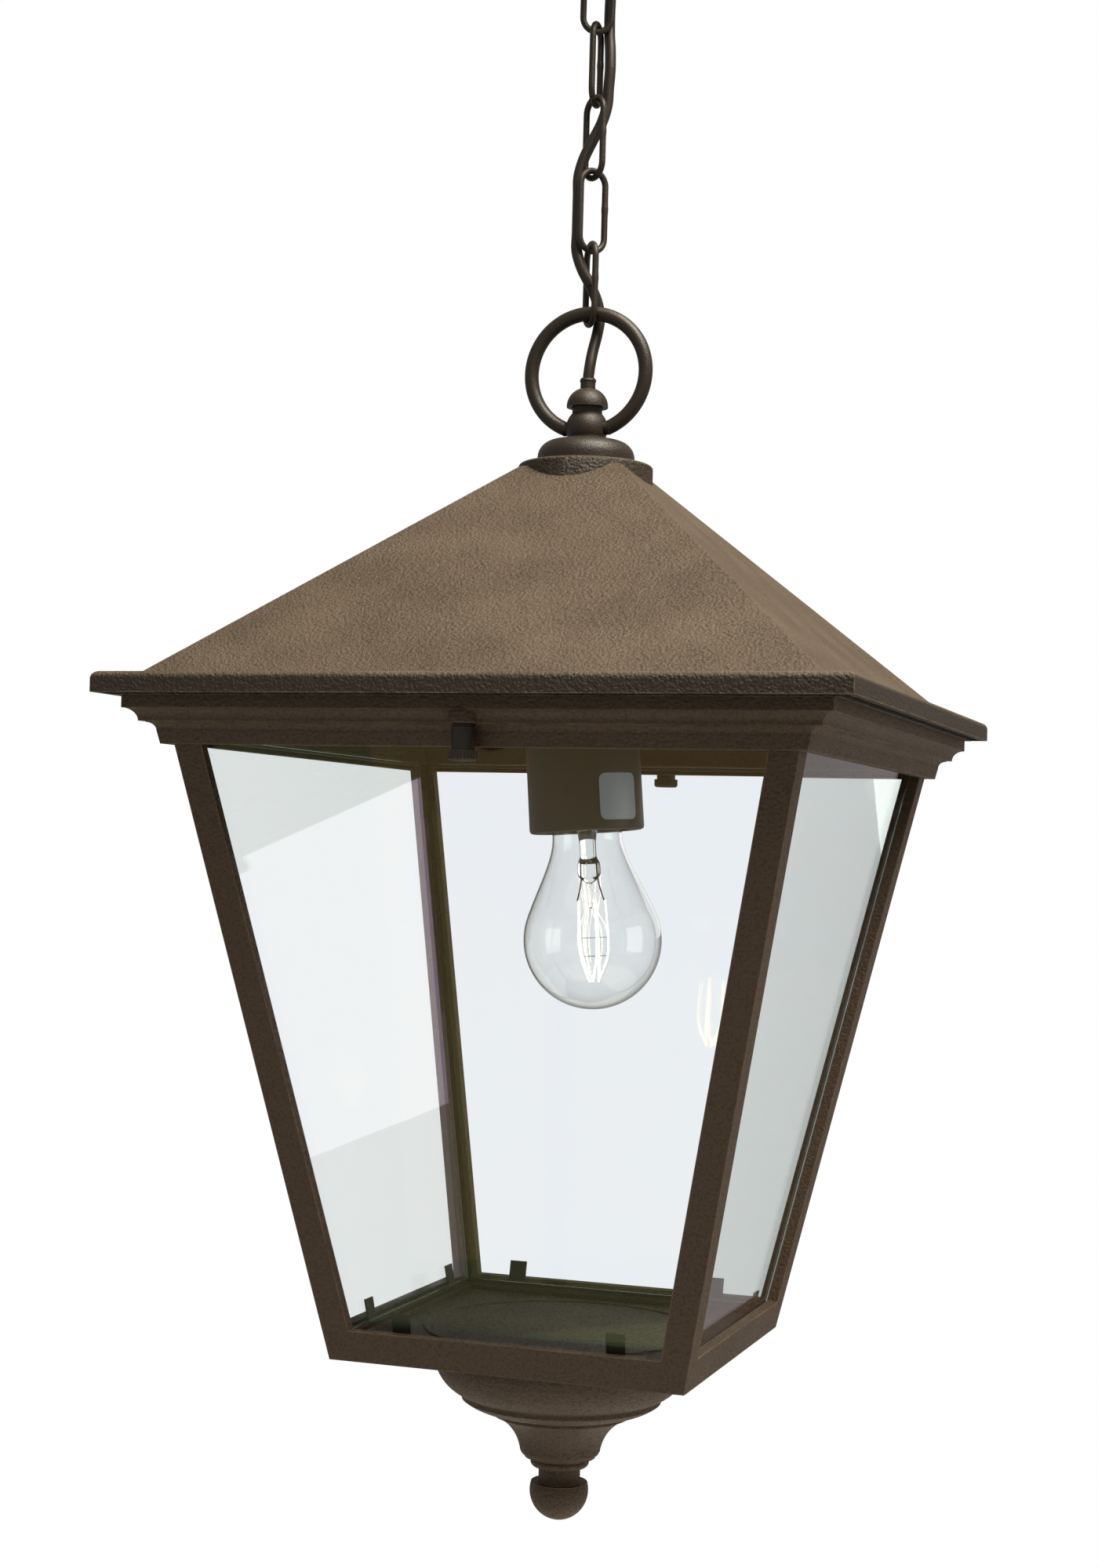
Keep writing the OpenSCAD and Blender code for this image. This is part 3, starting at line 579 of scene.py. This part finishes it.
@dataclass(frozen=True)
class ClearGlass(Finish):
    """Clear glass with a cool tint, faint waves from its rolling, and a trace of film on it."""

    name: str = "clear_glass"
    colour: tuple = (0.955, 0.985, 0.980, 1)
    smeared: tuple = (0.93, 0.965, 0.96, 1)
    waves: float = 9.0
    depth: float = 0.0002
    film: float = 0.0
    index: float = 1.5

    def fill(self, tree: Tree, shader: bpy.types.Node) -> None:
        """Plain transmission, with smears in the roughness and slow waves in the height."""
        where = tree.add("TexCoord").outputs["Object"]
        waves = tree.add("TexNoise", Vector=where, Scale=self.waves, Detail=1.0)
        smears = tree.add("TexNoise", Vector=where, Scale=26.0, Detail=5.0, Roughness=0.7)
        tint = tree.mix(tree.spread(smears.outputs[0], 0.45, 0.75), self.colour, self.smeared)
        tree.set(shader.inputs["Base Color"], tint)
        tree.set(shader.inputs["Roughness"], tree.spread(smears.outputs[0], 0.5, 0.8, 0.0, 0.008))
        shader.inputs["Transmission Weight"].default_value = 1.0
        shader.inputs["IOR"].default_value = self.index
        shader.inputs["Thin Film Thickness"].default_value = self.film
        self.bump(tree, shader, waves.outputs[0], self.depth, 0.25)


@dataclass(frozen=True)
class Glow(Finish):
    """Hot wire with a coil's fine banding."""

    name: str = "hot_wire"
    colour: tuple = (1.0, 0.70, 0.36, 1)
    hottest: tuple = (1.0, 0.86, 0.62, 1)
    metal: tuple = (0.2, 0.15, 0.1, 1)
    bright_metal: tuple = (0.4, 0.3, 0.2, 1)
    strength: float = 8.0

    def fill(self, tree: Tree, shader: bpy.types.Node) -> None:
        """A banded emission colour over dark metal."""
        where = tree.add("TexCoord").outputs["Object"]
        along = {"bands_direction": "Z"}
        bands = tree.add("TexWave", settings=along, Vector=where, Scale=900.0, Distortion=0.5)
        hot = tree.mix(bands.outputs["Fac"], self.colour, self.hottest)
        tree.set(shader.inputs["Emission Color"], hot)
        shader.inputs["Emission Strength"].default_value = self.strength
        cold = tree.mix(bands.outputs["Fac"], self.metal, self.bright_metal)
        tree.set(shader.inputs["Base Color"], cold)


class Coat(Enum):
    """The finishes that the lantern's pieces come in."""

    # Roof: painted top light on its upward slopes and painted shade on its vertical faces, from a dark base
    # colour with the lighter colour laid on faces that look up.
    ROOF = PowderCoat(
        "roof_coat", colour=(0.030, 0.018, 0.009, 1), deep=(0.013, 0.008, 0.004, 1), top_light=1.0,
    )
    CAGE = PowderCoat("cage_coat", depth=0.0005, pit_shade=0.3, dust=0.08)
    FITTINGS = PowderCoat(
        "fittings_coat", colour=(0.026, 0.017, 0.010, 1), deep=(0.012, 0.008, 0.005, 1),
        roughness=0.38, grains=1500.0, depth=0.00016, wear=0.45, edge=0.0006, dust=0.12,
    )
    CHAIN = PowderCoat(
        "chain_coat", colour=(0.026, 0.017, 0.010, 1), deep=(0.012, 0.008, 0.005, 1),
        roughness=0.36, grains=1800.0, depth=0.0001, wear=0.55, edge=0.0008, dust=0.08,
    )
    SHEATH = Moulded(
        "cable_sheath", colour=(0.030, 0.021, 0.013, 1), shade=(0.018, 0.012, 0.008, 1),
        roughness=0.45, dust=0.05,
    )
    ZINC = PlainMetal("zinc_plate")
    BRASS = PlainMetal("brass", colour=(0.70, 0.50, 0.20, 1), tarnish=(0.42, 0.28, 0.12, 1), roughness=0.28)
    CAP = PlainMetal(
        "bright_cap", colour=(0.75, 0.75, 0.73, 1), tarnish=(0.5, 0.5, 0.48, 1), roughness=0.22,
    )
    WIRE = PlainMetal(
        "nickel_wire", colour=(0.16, 0.14, 0.13, 1), tarnish=(0.07, 0.06, 0.06, 1),
        roughness=0.4,
    )
    HOLDER = Moulded(
        "holder_plastic", colour=(0.036, 0.039, 0.036, 1), shade=(0.028, 0.030, 0.028, 1),
        dust=0.12,
    )
    RUBBER = Moulded(
        "rubber", colour=(0.014, 0.014, 0.014, 1), shade=(0.009, 0.009, 0.009, 1), roughness=0.6,
    )
    IVORY = Moulded(
        "ivory_plastic", colour=(0.72, 0.70, 0.60, 1), shade=(0.66, 0.63, 0.53, 1),
        roughness=0.4,
    )
    GLAZED = Moulded(
        "glazed_ware", colour=(0.80, 0.79, 0.75, 1), shade=(0.76, 0.75, 0.70, 1), roughness=0.2,
        coat=0.6,
    )
    GLASS_BEAD = Moulded(
        "black_glaze", colour=(0.012, 0.012, 0.014, 1), shade=(0.01, 0.01, 0.012, 1),
        roughness=0.15, coat=0.5,
    )
    LABEL = Moulded(
        "blank_label", colour=(0.46, 0.58, 0.66, 1), shade=(0.55, 0.66, 0.72, 1), roughness=0.3,
        dust=0.05,
    )
    LIVE = Moulded("brown_core", colour=(0.13, 0.05, 0.02, 1), shade=(0.10, 0.04, 0.015, 1), roughness=0.35)
    NEUTRAL = Moulded(
        "blue_core", colour=(0.02, 0.09, 0.32, 1), shade=(0.015, 0.07, 0.26, 1), roughness=0.35,
    )
    PANE = ClearGlass("pane_glass", colour=(0.945, 0.962, 0.955, 1), film=420.0)
    BULB = ClearGlass("bulb_glass", colour=(0.985, 0.99, 0.985, 1), waves=30.0, depth=0.00005)
    HOT = Glow()

    def on(self, *pieces: bpy.types.Object) -> None:
        """Dresses pieces in this finish."""
        self.value.dress(*pieces)


# ---- Chain, ring and cable ----


@dataclass
class Suspension:
    """The hook, five links, the carrying ring and the supply cable between ceiling and roof."""

    links: int = 5
    wire: float = 2.8
    length: float = 38.4
    width: float = 15.4
    weld: float = 0.12
    weld_reach: float = 1.6
    weld_height: float = 1.5
    sides: int = 20
    cable: float = 4.9
    headings: tuple = (20.0, 92.0, -36.0, 50.0, -54.0)
    route: tuple = (
        (6.5, 14, -19), (6.5, 14, -26), (6, 13, -33), (5, 11, -40), (4, 9, -47), (3.5, 7.5, -54),
        (3.5, 7, -62), (3.5, 6.5, -71), (4, 5.5, -80), (5, 4, -87), (5.5, 3, -96), (5, 3, -104),
        (4.5, 3, -112), (2.5, 2, -120), (-1, 0.5, -128), (-4.5, -0.5, -136), (-6.5, -1, -144),
        (-6.5, -1, -152), (-6.5, -1, -160), (-6.5, -1, -169), (-6.5, -1, -177), (-4, -0.5, -185),
        (-0.5, 1, -192), (1.5, 4.5, -198), (2.5, 6.5, -205), (2, 5, -213), (1, 2.5, -221),
        (0.5, 0.5, -228), (0, 0, -235), (0, 0, -244), (0, 0, -254), (0, 0, -264), (0, 0, -276),
        (0, 0, -288),
    )
    cuts: tuple = (0, 6, 10, 14, 18, 22, 26, 33)
    bodies: tuple = ("ceiling", "link_1", "link_2", "link_3", "link_4", "link_5", "ring", "head")

    def link(self, number: int) -> bpy.types.Object:
        """A link: wire round an oval of two half rounds and two sides, thicker at its butt weld.

        The wire's radius is r (1 + w e^(-(s/b)^2)), where s is the distance from the weld and b
        is how far the weld reaches.

        Args:
            number: its place in the chain, from 1 at the hook.
        Returns:
            The link.
        """
        low, high = (np.array(corner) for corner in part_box(f"chain_link_{number}"))
        middle = (low + high) / 2
        bend = (self.width - self.wire) / 2
        reach = (self.length - self.wire) / 2 - bend
        arc = np.linspace(-np.pi / 2, np.pi / 2, 25)[:-1]
        side = np.linspace(-reach, reach, 17)[:-1]
        right = np.stack([np.full_like(side, bend), side], 1)
        top = np.stack([bend * np.sin(-arc), reach + bend * np.cos(arc)], 1)
        oval = np.vstack([right, top, -right, -top])
        turn = math.radians(self.headings[number - 1])
        across, up = oval[:, 0], oval[:, 1]
        path = np.stack([across * math.cos(turn), across * math.sin(turn), up], 1) * MM + middle
        far = np.linalg.norm(oval - np.array([bend, self.weld_height]), axis=1)
        radius = self.wire / 2 * (1 + self.weld * np.exp(-((far / self.weld_reach) ** 2))) * MM
        normal = (-math.sin(turn), math.cos(turn), 0)
        return swept(f"link_{number}", path, radius, self.sides, normal, closed=True)

    def build(self) -> None:
        """Makes the links and the cable, and dresses what the frame already shapes."""
        for number in range(1, self.links + 1):
            link = self.link(number)
            stands_for(link, f"chain_link_{number}")
            Coat.CHAIN.on(link)
        Coat.CHAIN.on(frame["nodes"]["carrying_ring"], frame["nodes"]["ceiling_hook"])
        self.cables()

    def cables(self) -> None:
        """The cable in seven lengths, cut from one smooth line along the route."""
        route = np.array(self.route, float) * MM
        steps = 4
        line = smooth_line(route, steps)
        for number, (first, last) in enumerate(zip(self.cuts[:-1], self.cuts[1:]), 1):
            path = line[first * steps : last * steps + 1]
            piece = swept(f"supply_cable_{number}", path, self.cable / 2 * MM, self.sides)
            Coat.SHEATH.on(piece)
            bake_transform(piece)
            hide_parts(f"cable_{number}")


# ---- Ceiling fitting, neck and roof ----


@dataclass
class CeilingFitting:
    """The strap, cup, nuts and terminal block at the ceiling."""

    ease: float = 0.4

    def build(self) -> None:
        """Rounds the pressed pieces and dresses the rest."""
        nodes = frame["nodes"]
        Coat.FITTINGS.on(nodes["ceiling_cup"])
        strap = eased("ceiling_strap", self.ease)
        Coat.ZINC.on(strap, nodes["hook_nuts"])
        Coat.RUBBER.on(nodes["cable_grommet"])
        Coat.IVORY.on(eased("terminal_block", self.ease))


@dataclass
class Neck:
    """The ball that carries the ring, the gland nut over it, and the disc under it."""

    def build(self) -> None:
        """Dresses the turned pieces."""
        nodes = frame["nodes"]
        Coat.FITTINGS.on(nodes["neck"], nodes["cap_disc"], nodes["gland_nut"])
        Coat.RUBBER.on(nodes["gland_seal"])
        Coat.ZINC.on(nodes["neck_lock_nut"])


@dataclass
class Roof:
    """The cast pyramid with its collar, rim and skirt."""

    ease: float = 0.9

    def build(self) -> None:
        """Rounds the casting's edges and dresses it."""
        Coat.ROOF.on(eased("roof_shell", self.ease, 20.0))
        Coat.RUBBER.on(frame["nodes"]["roof_seal"])


# ---- Lampholder and lamp ----


def holder_place() -> Matrix:
    """The lampholder's own axes: its middle on the strap, leaning as the frame has it."""
    low, high = (np.array(c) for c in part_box("bulb_glass"))
    tip_low, tip_high = (np.array(c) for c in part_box("bulb_tip"))
    lamp = (low + high) / 2
    tip = (tip_low + tip_high) / 2
    lean = math.atan2(lamp[0] - tip[0], tip[2] - lamp[2])
    down = Vector((math.sin(lean), 0, -math.cos(lean)))
    pivot = Vector(tip.tolist()) - down * (tip[0] / math.sin(lean))
    return Matrix.Translation(pivot) @ Matrix.Rotation(-lean, 4, "Y")


@dataclass
class Lampholder:
    """The smooth plastic lampholder on its steel strap, its brass, and its leads."""

    radius: float = 25.0
    length: float = 66.0
    cover: float = 9.0
    label: tuple = (19.0, 20.0)
    label_heading: float = -36.0
    label_corner: float = 0.09
    label_points: int = 33

    def shell(self, place: Matrix) -> bpy.types.Object:
        """The skirt: a drawn-in mouth, a rounded lower edge, and a shadow line under the cover."""
        r, low, high = self.radius, -self.length, -self.cover - 1.4
        wall = 2.2
        profile = filleted([
            (r, low, 2.0), (r - 0.15, (low + high) / 2, 0.5), (r - 0.4, high, 0.5), (r - wall, high, 0.3),
            (r - wall, low + 3, 0.6), (18.6, low + 3, 0.3), (18.6, low, 0.8),
        ])
        return placed(turned("holder_shell", profile, 96), place)

    def blank_label(self, place: Matrix) -> bpy.types.Object:
        """A blank label with rounded corners, bent round the shell.

        A square (u, v) in -1..1 becomes a rounded rectangle by u (1 - k v^12), where k is the
        label's corner, and is wrapped by the angle x / r.
        """
        r, (wide, tall), k = self.radius, self.label, self.label_corner
        m = self.label_points
        u, v = np.meshgrid(np.linspace(-1, 1, m), np.linspace(-1, 1, m))
        x = u * (1 - k * np.abs(v) ** 12) * wide / 2
        z = v * (1 - k * np.abs(u) ** 12) * tall / 2 - self.length + 4 + tall / 2
        a = math.radians(self.label_heading) + x / r
        sheet = np.stack([np.stack([(r + t) * np.cos(a), (r + t) * np.sin(a), z], -1) for t in (0.06, 0.16)])
        rows = sheet.reshape(2, -1, 3)
        n = u.size
        quads = grid_faces(m, m, False, False)
        first, right = np.arange(m), np.arange(2 * m - 1, n, m)
        last, left = np.arange(n - 2, n - m - 1, -1), np.arange(n - 2 * m, 0, -m)
        rim = np.r_[first, right, last, left]
        band = np.stack([rim, np.roll(rim, -1), np.roll(rim, -1) + n, rim + n], 1)
        faces = np.vstack([quads[:, ::-1], quads + n, band])
        piece = mesh_object("blank_label", rows.reshape(-1, 3) * MM, [tuple(f) for f in faces.tolist()])
        return placed(piece, place)

    def build(self, place: Matrix) -> None:
        """Makes the shell and the label, and dresses the rest."""
        nodes = frame["nodes"]
        shell = stands_for(self.shell(place), "holder_skirt")
        Coat.HOLDER.on(shell, nodes["holder_cover"])
        Coat.LABEL.on(stands_for(self.blank_label(place), "rating_label"))
        Coat.ZINC.on(eased("holder_strap", 0.3), nodes["strap_screws"])
        Coat.ZINC.on(nodes["holder_nipple"], nodes["nipple_nut"])
        Coat.GLAZED.on(nodes["holder_insert"])
        Coat.BRASS.on(nodes["screw_shell"], nodes["holder_contact"])
        Coat.LIVE.on(nodes["live_wire"])
        Coat.NEUTRAL.on(nodes["neutral_wire"])


@dataclass
class Lamp:
    """The clear lamp: its glass, screw cap, pressed stem, leads and squirrel-cage filament."""

    radius: float = 30.0
    length: float = 105.0
    tip: float = -38.0
    cap_radius: float = 13.0
    cap_length: float = 22.0
    wall: float = 0.6
    pitch: float = 3.62
    half_thread: float = 0.75
    strands: int = 5

    def outline(self) -> np.ndarray:
        """The glass's outline: its widest ball, then radii that fall to the neck, as one smooth curve."""
        centre = self.tip - self.length + self.radius
        a = np.linspace(-np.pi / 2, math.radians(22), 28)
        ball = np.stack([self.radius * np.cos(a), centre + self.radius * np.sin(a)], 1)
        start, end = ball[-1], np.array([15.2, -68.5])
        falling = np.array([-math.sin(a[-1]), math.cos(a[-1])])
        t = np.linspace(0, 1, 22)[1:, None]
        near, far = start + falling * 13, end + np.array([0.2, -9.0])
        from_start = (1 - t) ** 3 * start + 3 * t * (1 - t) ** 2 * near
        shoulder = from_start + 3 * t**2 * (1 - t) * far + t**3 * end
        neck = np.array([[15.1, -66.0], [14.6, -64.2], [13.2, -62.6], [12.5, -61.8]])
        return np.vstack([ball, shoulder, neck])

    def glass(self) -> bpy.types.Object:
        """The envelope, with its wall carried inwards along the outline's own normal."""
        outer = self.outline()
        along = np.gradient(outer, axis=0)
        along /= np.linalg.norm(along, axis=1, keepdims=True)
        inner = outer + np.stack([-along[:, 1], along[:, 0]], 1) * self.wall
        inner[0, 0] = 0
        profile = np.vstack([outer, inner[::-1]])
        profile[:, 0] = np.maximum(profile[:, 0], 0)
        return turned("lamp_glass", profile, 96)

    def cap(self) -> bpy.types.Object:
        """The screw cap: its radius follows a rolled thread, a cosine of height plus turn.

        r(a, z) = R - d + d cos(2 pi z / p + a), where d is half the thread's depth, faded out at
        both ends.
        """
        low, high = self.tip - 4 - self.cap_length, self.tip - 3.6
        z = np.linspace(low, high - 3.2, 64)
        a = np.linspace(0, 2 * np.pi, 72, endpoint=False)
        fade = np.clip(np.minimum(z - low - 2.2, high - 3.4 - z) / 1.5, 0, 1)[:, None]
        thread = self.half_thread * (np.cos(2 * np.pi * z[:, None] / self.pitch + a[None]) - 1) * fade
        wall = np.stack([np.full_like(z, self.cap_radius), z], 1)
        shoulder = np.array([[11.6, high - 1.6], [8.4, high - 0.2], [7.4, high], [0.0, high]])
        profile = np.vstack([wall, shoulder, [[0.0, low], [self.cap_radius - 0.6, low]]])
        wave = np.zeros((len(profile), a.size))
        wave[: z.size] = thread
        return turned("lamp_cap", profile, a.size, wave)

    def stem(self) -> bpy.types.Object:
        """The glass stem: a flared tube, flattened where it was pinched round the leads."""
        profile = filleted([
            (0, -64, 0), (4.6, -64, 0.5), (3.7, -70, 2), (3.6, -77, 1.5), (4.7, -80, 1.2), (4.8, -85, 1.5),
            (2.6, -87.5, 0.8), (1.0, -88.5, 0.6), (0.9, -97, 0.3), (1.5, -98.5, 0.6), (0, -99.5, 0),
        ])
        piece = turned("lamp_stem", profile, 40)
        points = np.empty(len(piece.data.vertices) * 3)
        piece.data.vertices.foreach_get("co", points)
        points = points.reshape(-1, 3)
        pinch = np.clip((-points[:, 2] / MM - 77) / 3, 0, 1) * np.clip((89 + points[:, 2] / MM) / 2, 0, 1)
        points[:, 1] *= 1 - 0.62 * pinch
        points[:, 0] *= 1 + 0.12 * pinch
        piece.data.vertices.foreach_set("co", points.ravel())
        return piece

    def leads(self) -> bpy.types.Object:
        """Two leads that leave the pinch and splay to the filament's ends, and the fine supports."""
        parts = []
        for side in (-1, 1):
            points = np.array([
                [side * 3.2, 0, -70], [side * 3.4, 0, -79], [side * 3.6, 0, -85], [side * 4.4, 0, -90],
                [side * 5.6, side * 1.5, -96],
            ]) * MM
            parts.append(swept("lead", smooth_line(points, 5), 0.32 * MM, 8))
        a = np.linspace(0, 2 * np.pi, 49)[:-1]
        for height, reach in ((-112, 6.6), (-120, 6.0)):
            ring = np.stack([reach * np.cos(a), reach * np.sin(a), np.full_like(a, height)], 1) * MM
            parts.append(swept("support", ring, 0.09 * MM, 6, (0, 0, 1), closed=True))
        return joined("lamp_leads", parts)

    def filament(self) -> bpy.types.Object:
        """One hot wire, up and down round a cage: r and z go between a wide top and a gathered foot."""
        n = self.strands
        a = np.repeat(2 * np.pi * (np.arange(n) + 0.3) / n, 4) + np.tile([0, 0.02, 0.55, 0.60], n)
        r = np.tile([6.4, 6.8, 2.6, 2.0], n)
        z = np.tile([-97.5, -118, -130, -130.5], n)
        up = np.stack([r * np.cos(a), r * np.sin(a), z], 1)
        back_r = np.tile([2.4, 6.6, 6.4, 6.2], n)
        back_a = np.repeat(2 * np.pi * (np.arange(n) + 0.3) / n, 4) + np.tile([0.68, 1.15, 1.22, 1.24], n)
        back_z = np.tile([-130, -118, -97.8, -97.2], n)
        back = np.stack([back_r * np.cos(back_a), back_r * np.sin(back_a), back_z], 1)
        line = np.hstack([up.reshape(n, 4, 3), back.reshape(n, 4, 3)]).reshape(-1, 3)
        return swept("hot_wire", smooth_line(line * MM, 3), 0.24 * MM, 6, (0.13, 0.31, 0.07))

    def build(self, place: Matrix) -> None:
        """Makes every piece of the lamp on the holder's axes."""
        glass = stands_for(placed(self.glass(), place), "bulb_glass")
        stem = stands_for(placed(self.stem(), place), "bulb_stem")
        Coat.BULB.on(glass, stem)
        Coat.CAP.on(stands_for(placed(self.cap(), place), "bulb_cap"))
        Coat.WIRE.on(stands_for(placed(self.leads(), place), "bulb_wires"))
        Coat.HOT.on(stands_for(placed(self.filament(), place), "filament"))
        Coat.GLASS_BEAD.on(frame["nodes"]["bulb_tip"])


# ---- Cage and finial ----


@dataclass
class Cage:
    """The cornice, the glazed frame, its panes and clips, and the thumb screws."""

    ease: float = 0.7

    def build(self) -> None:
        """Rounds the castings' edges and dresses every piece."""
        nodes = frame["nodes"]
        castings = (eased("cornice", self.ease, 20.0), eased("cage_frame", self.ease))
        Coat.CAGE.on(*castings, eased("floor_plate", 0.3))
        Coat.PANE.on(*(eased("pane_" + side, 0.4) for side in ("front", "right", "back", "left")))
        Coat.FITTINGS.on(eased("pane_clips", 0.12))
        Coat.ZINC.on(nodes["frame_screws"])
        for side in ("front", "back"):
            Coat.FITTINGS.on(nodes["thumb_screw_" + side])
            Coat.RUBBER.on(nodes["screw_washer_" + side])


@dataclass
class Finial:
    """The bowl, bead and ball under the cage."""

    def build(self) -> None:
        """Dresses the turned castings."""
        nodes = frame["nodes"]
        Coat.CAGE.on(nodes["finial_bowl"], nodes["finial_ball"])
        Coat.ZINC.on(nodes["finial_nut"])


# ---- Studio ----


@dataclass
class Studio:
    """A pale floor, soft lights, a white surround and the camera."""

    focal: float = 54.77
    sensor: float = 36.0
    camera_at: tuple = (329.31, -988.38, -60.91)
    azimuth: float = 19.11
    pitch: float = 1.76
    roll: float = 1.53
    floor: float = -1350.0
    floor_radius: float = 1150.0

    def camera(self) -> None:
        """The camera, placed from the lower edge of the eaves."""
        eaves = float(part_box("roof_shell")[0][2]) + 0.5 * MM
        data = bpy.data.cameras.new("camera")
        data.sensor_fit = "VERTICAL"
        data.sensor_height = self.sensor
        data.sensor_width = self.sensor
        data.lens = self.focal
        data.clip_start = 0.02
        data.clip_end = 50
        camera = bpy.data.objects.new("camera", data)
        az, pitch, roll = (math.radians(v) for v in (self.azimuth, self.pitch, self.roll))
        level = Vector((-math.sin(az), math.cos(az), 0))
        side = Vector((math.cos(az), math.sin(az), 0))
        ahead = level * math.cos(pitch) + Vector((0, 0, math.sin(pitch)))
        above = side.cross(ahead)
        right = side * math.cos(roll) + above * math.sin(roll)
        up = above * math.cos(roll) - side * math.sin(roll)
        place = Matrix((right, up, -ahead)).transposed().to_4x4()
        place.translation = Vector(self.camera_at) * MM + Vector((0, 0, eaves))
        camera.matrix_world = place
        bpy.context.collection.objects.link(camera)
        bpy.context.scene.camera = camera

    def light(
        self,
        name: str,
        at: tuple,
        aim: tuple,
        size: float,
        power: float,
        colour: tuple,
        mirrored: bool = True,
    ) -> None:
        """One square soft light, aimed at a point; it shows in reflections only if mirrored is True."""
        data = bpy.data.lights.new(name, "AREA")
        data.size = size
        data.energy = power
        data.color = colour
        lamp = bpy.data.objects.new(name, data)
        lamp.location = at
        lamp.rotation_euler = (Vector(aim) - Vector(at)).to_track_quat("-Z", "Y").to_euler()
        lamp.visible_camera = False
        lamp.visible_glossy = mirrored
        bpy.context.collection.objects.link(lamp)

    def surround(self) -> None:
        """White where it is seen, directly or through glass, and dimmer as a light."""
        world = bpy.data.worlds.new("surround")
        bpy.context.scene.world = world
        world.use_nodes = True
        world.node_tree.nodes.clear()
        tree = Tree(world.node_tree)
        path = tree.add("LightPath")
        straight = tree.math("MAXIMUM", path.outputs["Is Camera Ray"], path.outputs["Is Transmission Ray"])
        bounced = tree.math("ADD", path.outputs["Diffuse Depth"], path.outputs["Glossy Depth"], clamp=True)
        seen = tree.math("MULTIPLY", straight, tree.math("SUBTRACT", 1.0, bounced))
        glow = tree.math("ADD", 0.12, tree.math("MULTIPLY", path.outputs["Is Glossy Ray"], 0.2))
        dim = tree.add("Background", Color=(1.0, 0.97, 0.92, 1), Strength=glow)
        white = tree.add("Background", Color=(1, 1, 1, 1), Strength=1.0)
        mixed = tree.add("MixShader")
        tree.set(mixed.inputs[0], seen)
        tree.set(mixed.inputs[1], dim.outputs[0])
        tree.set(mixed.inputs[2], white.outputs[0])
        tree.add("OutputWorld", Surface=mixed.outputs[0])

    def ground(self) -> None:
        """A round pale floor, well below the lantern."""
        a = np.linspace(0, 2 * np.pi, 96, endpoint=False)
        r = self.floor_radius * MM
        ring = np.stack([r * np.cos(a), r * np.sin(a), np.full_like(a, self.floor * MM)], 1)
        floor = mesh_object("floor", ring, [tuple(range(a.size))])
        pale, paler = (0.78, 0.78, 0.77, 1), (0.80, 0.80, 0.79, 1)
        Moulded("floor_paint", colour=paler, shade=pale, roughness=0.6, dust=0.0).dress(floor)

    def build(self) -> None:
        """Sets up everything that isn't the lantern."""
        bpy.context.scene.view_settings.view_transform = "Standard"
        self.camera()
        self.surround()
        self.ground()
        self.light("sky", (0.75, -0.4, 1.25), (0, 0, -0.4), 1.3, 72, (1.0, 0.93, 0.80))
        self.light("left", (-1.5, -1.3, -0.3), (0, 0, -0.5), 1.0, 2, (1.0, 0.92, 0.80), False)
        self.light("low", (-0.3, -1.8, -1.15), (0, 0, -0.7), 1.0, 1.2, (1.0, 0.92, 0.80), False)
        self.light("right", (1.7, 0.1, -0.4), (0, 0, -0.5), 1.0, 6, (1.0, 0.93, 0.82), False)
        self.light("back", (0.3, 1.7, 0.1), (0, 0, -0.5), 1.2, 4, (1.0, 0.96, 0.9), False)


def main() -> None:
    """Builds each sub-assembly in turn."""
    logging.basicConfig(level=logging.INFO, format="%(name)s: %(message)s")
    Studio().build()
    for part in (CeilingFitting(), Suspension(), Neck(), Roof(), Cage(), Finial()):
        part.build()
        log.info("built %s", type(part).__name__)
    place = holder_place()
    for part in (Lampholder(), Lamp()):
        part.build(place)
        log.info("built %s", type(part).__name__)


if __name__ == "__main__":
    main()
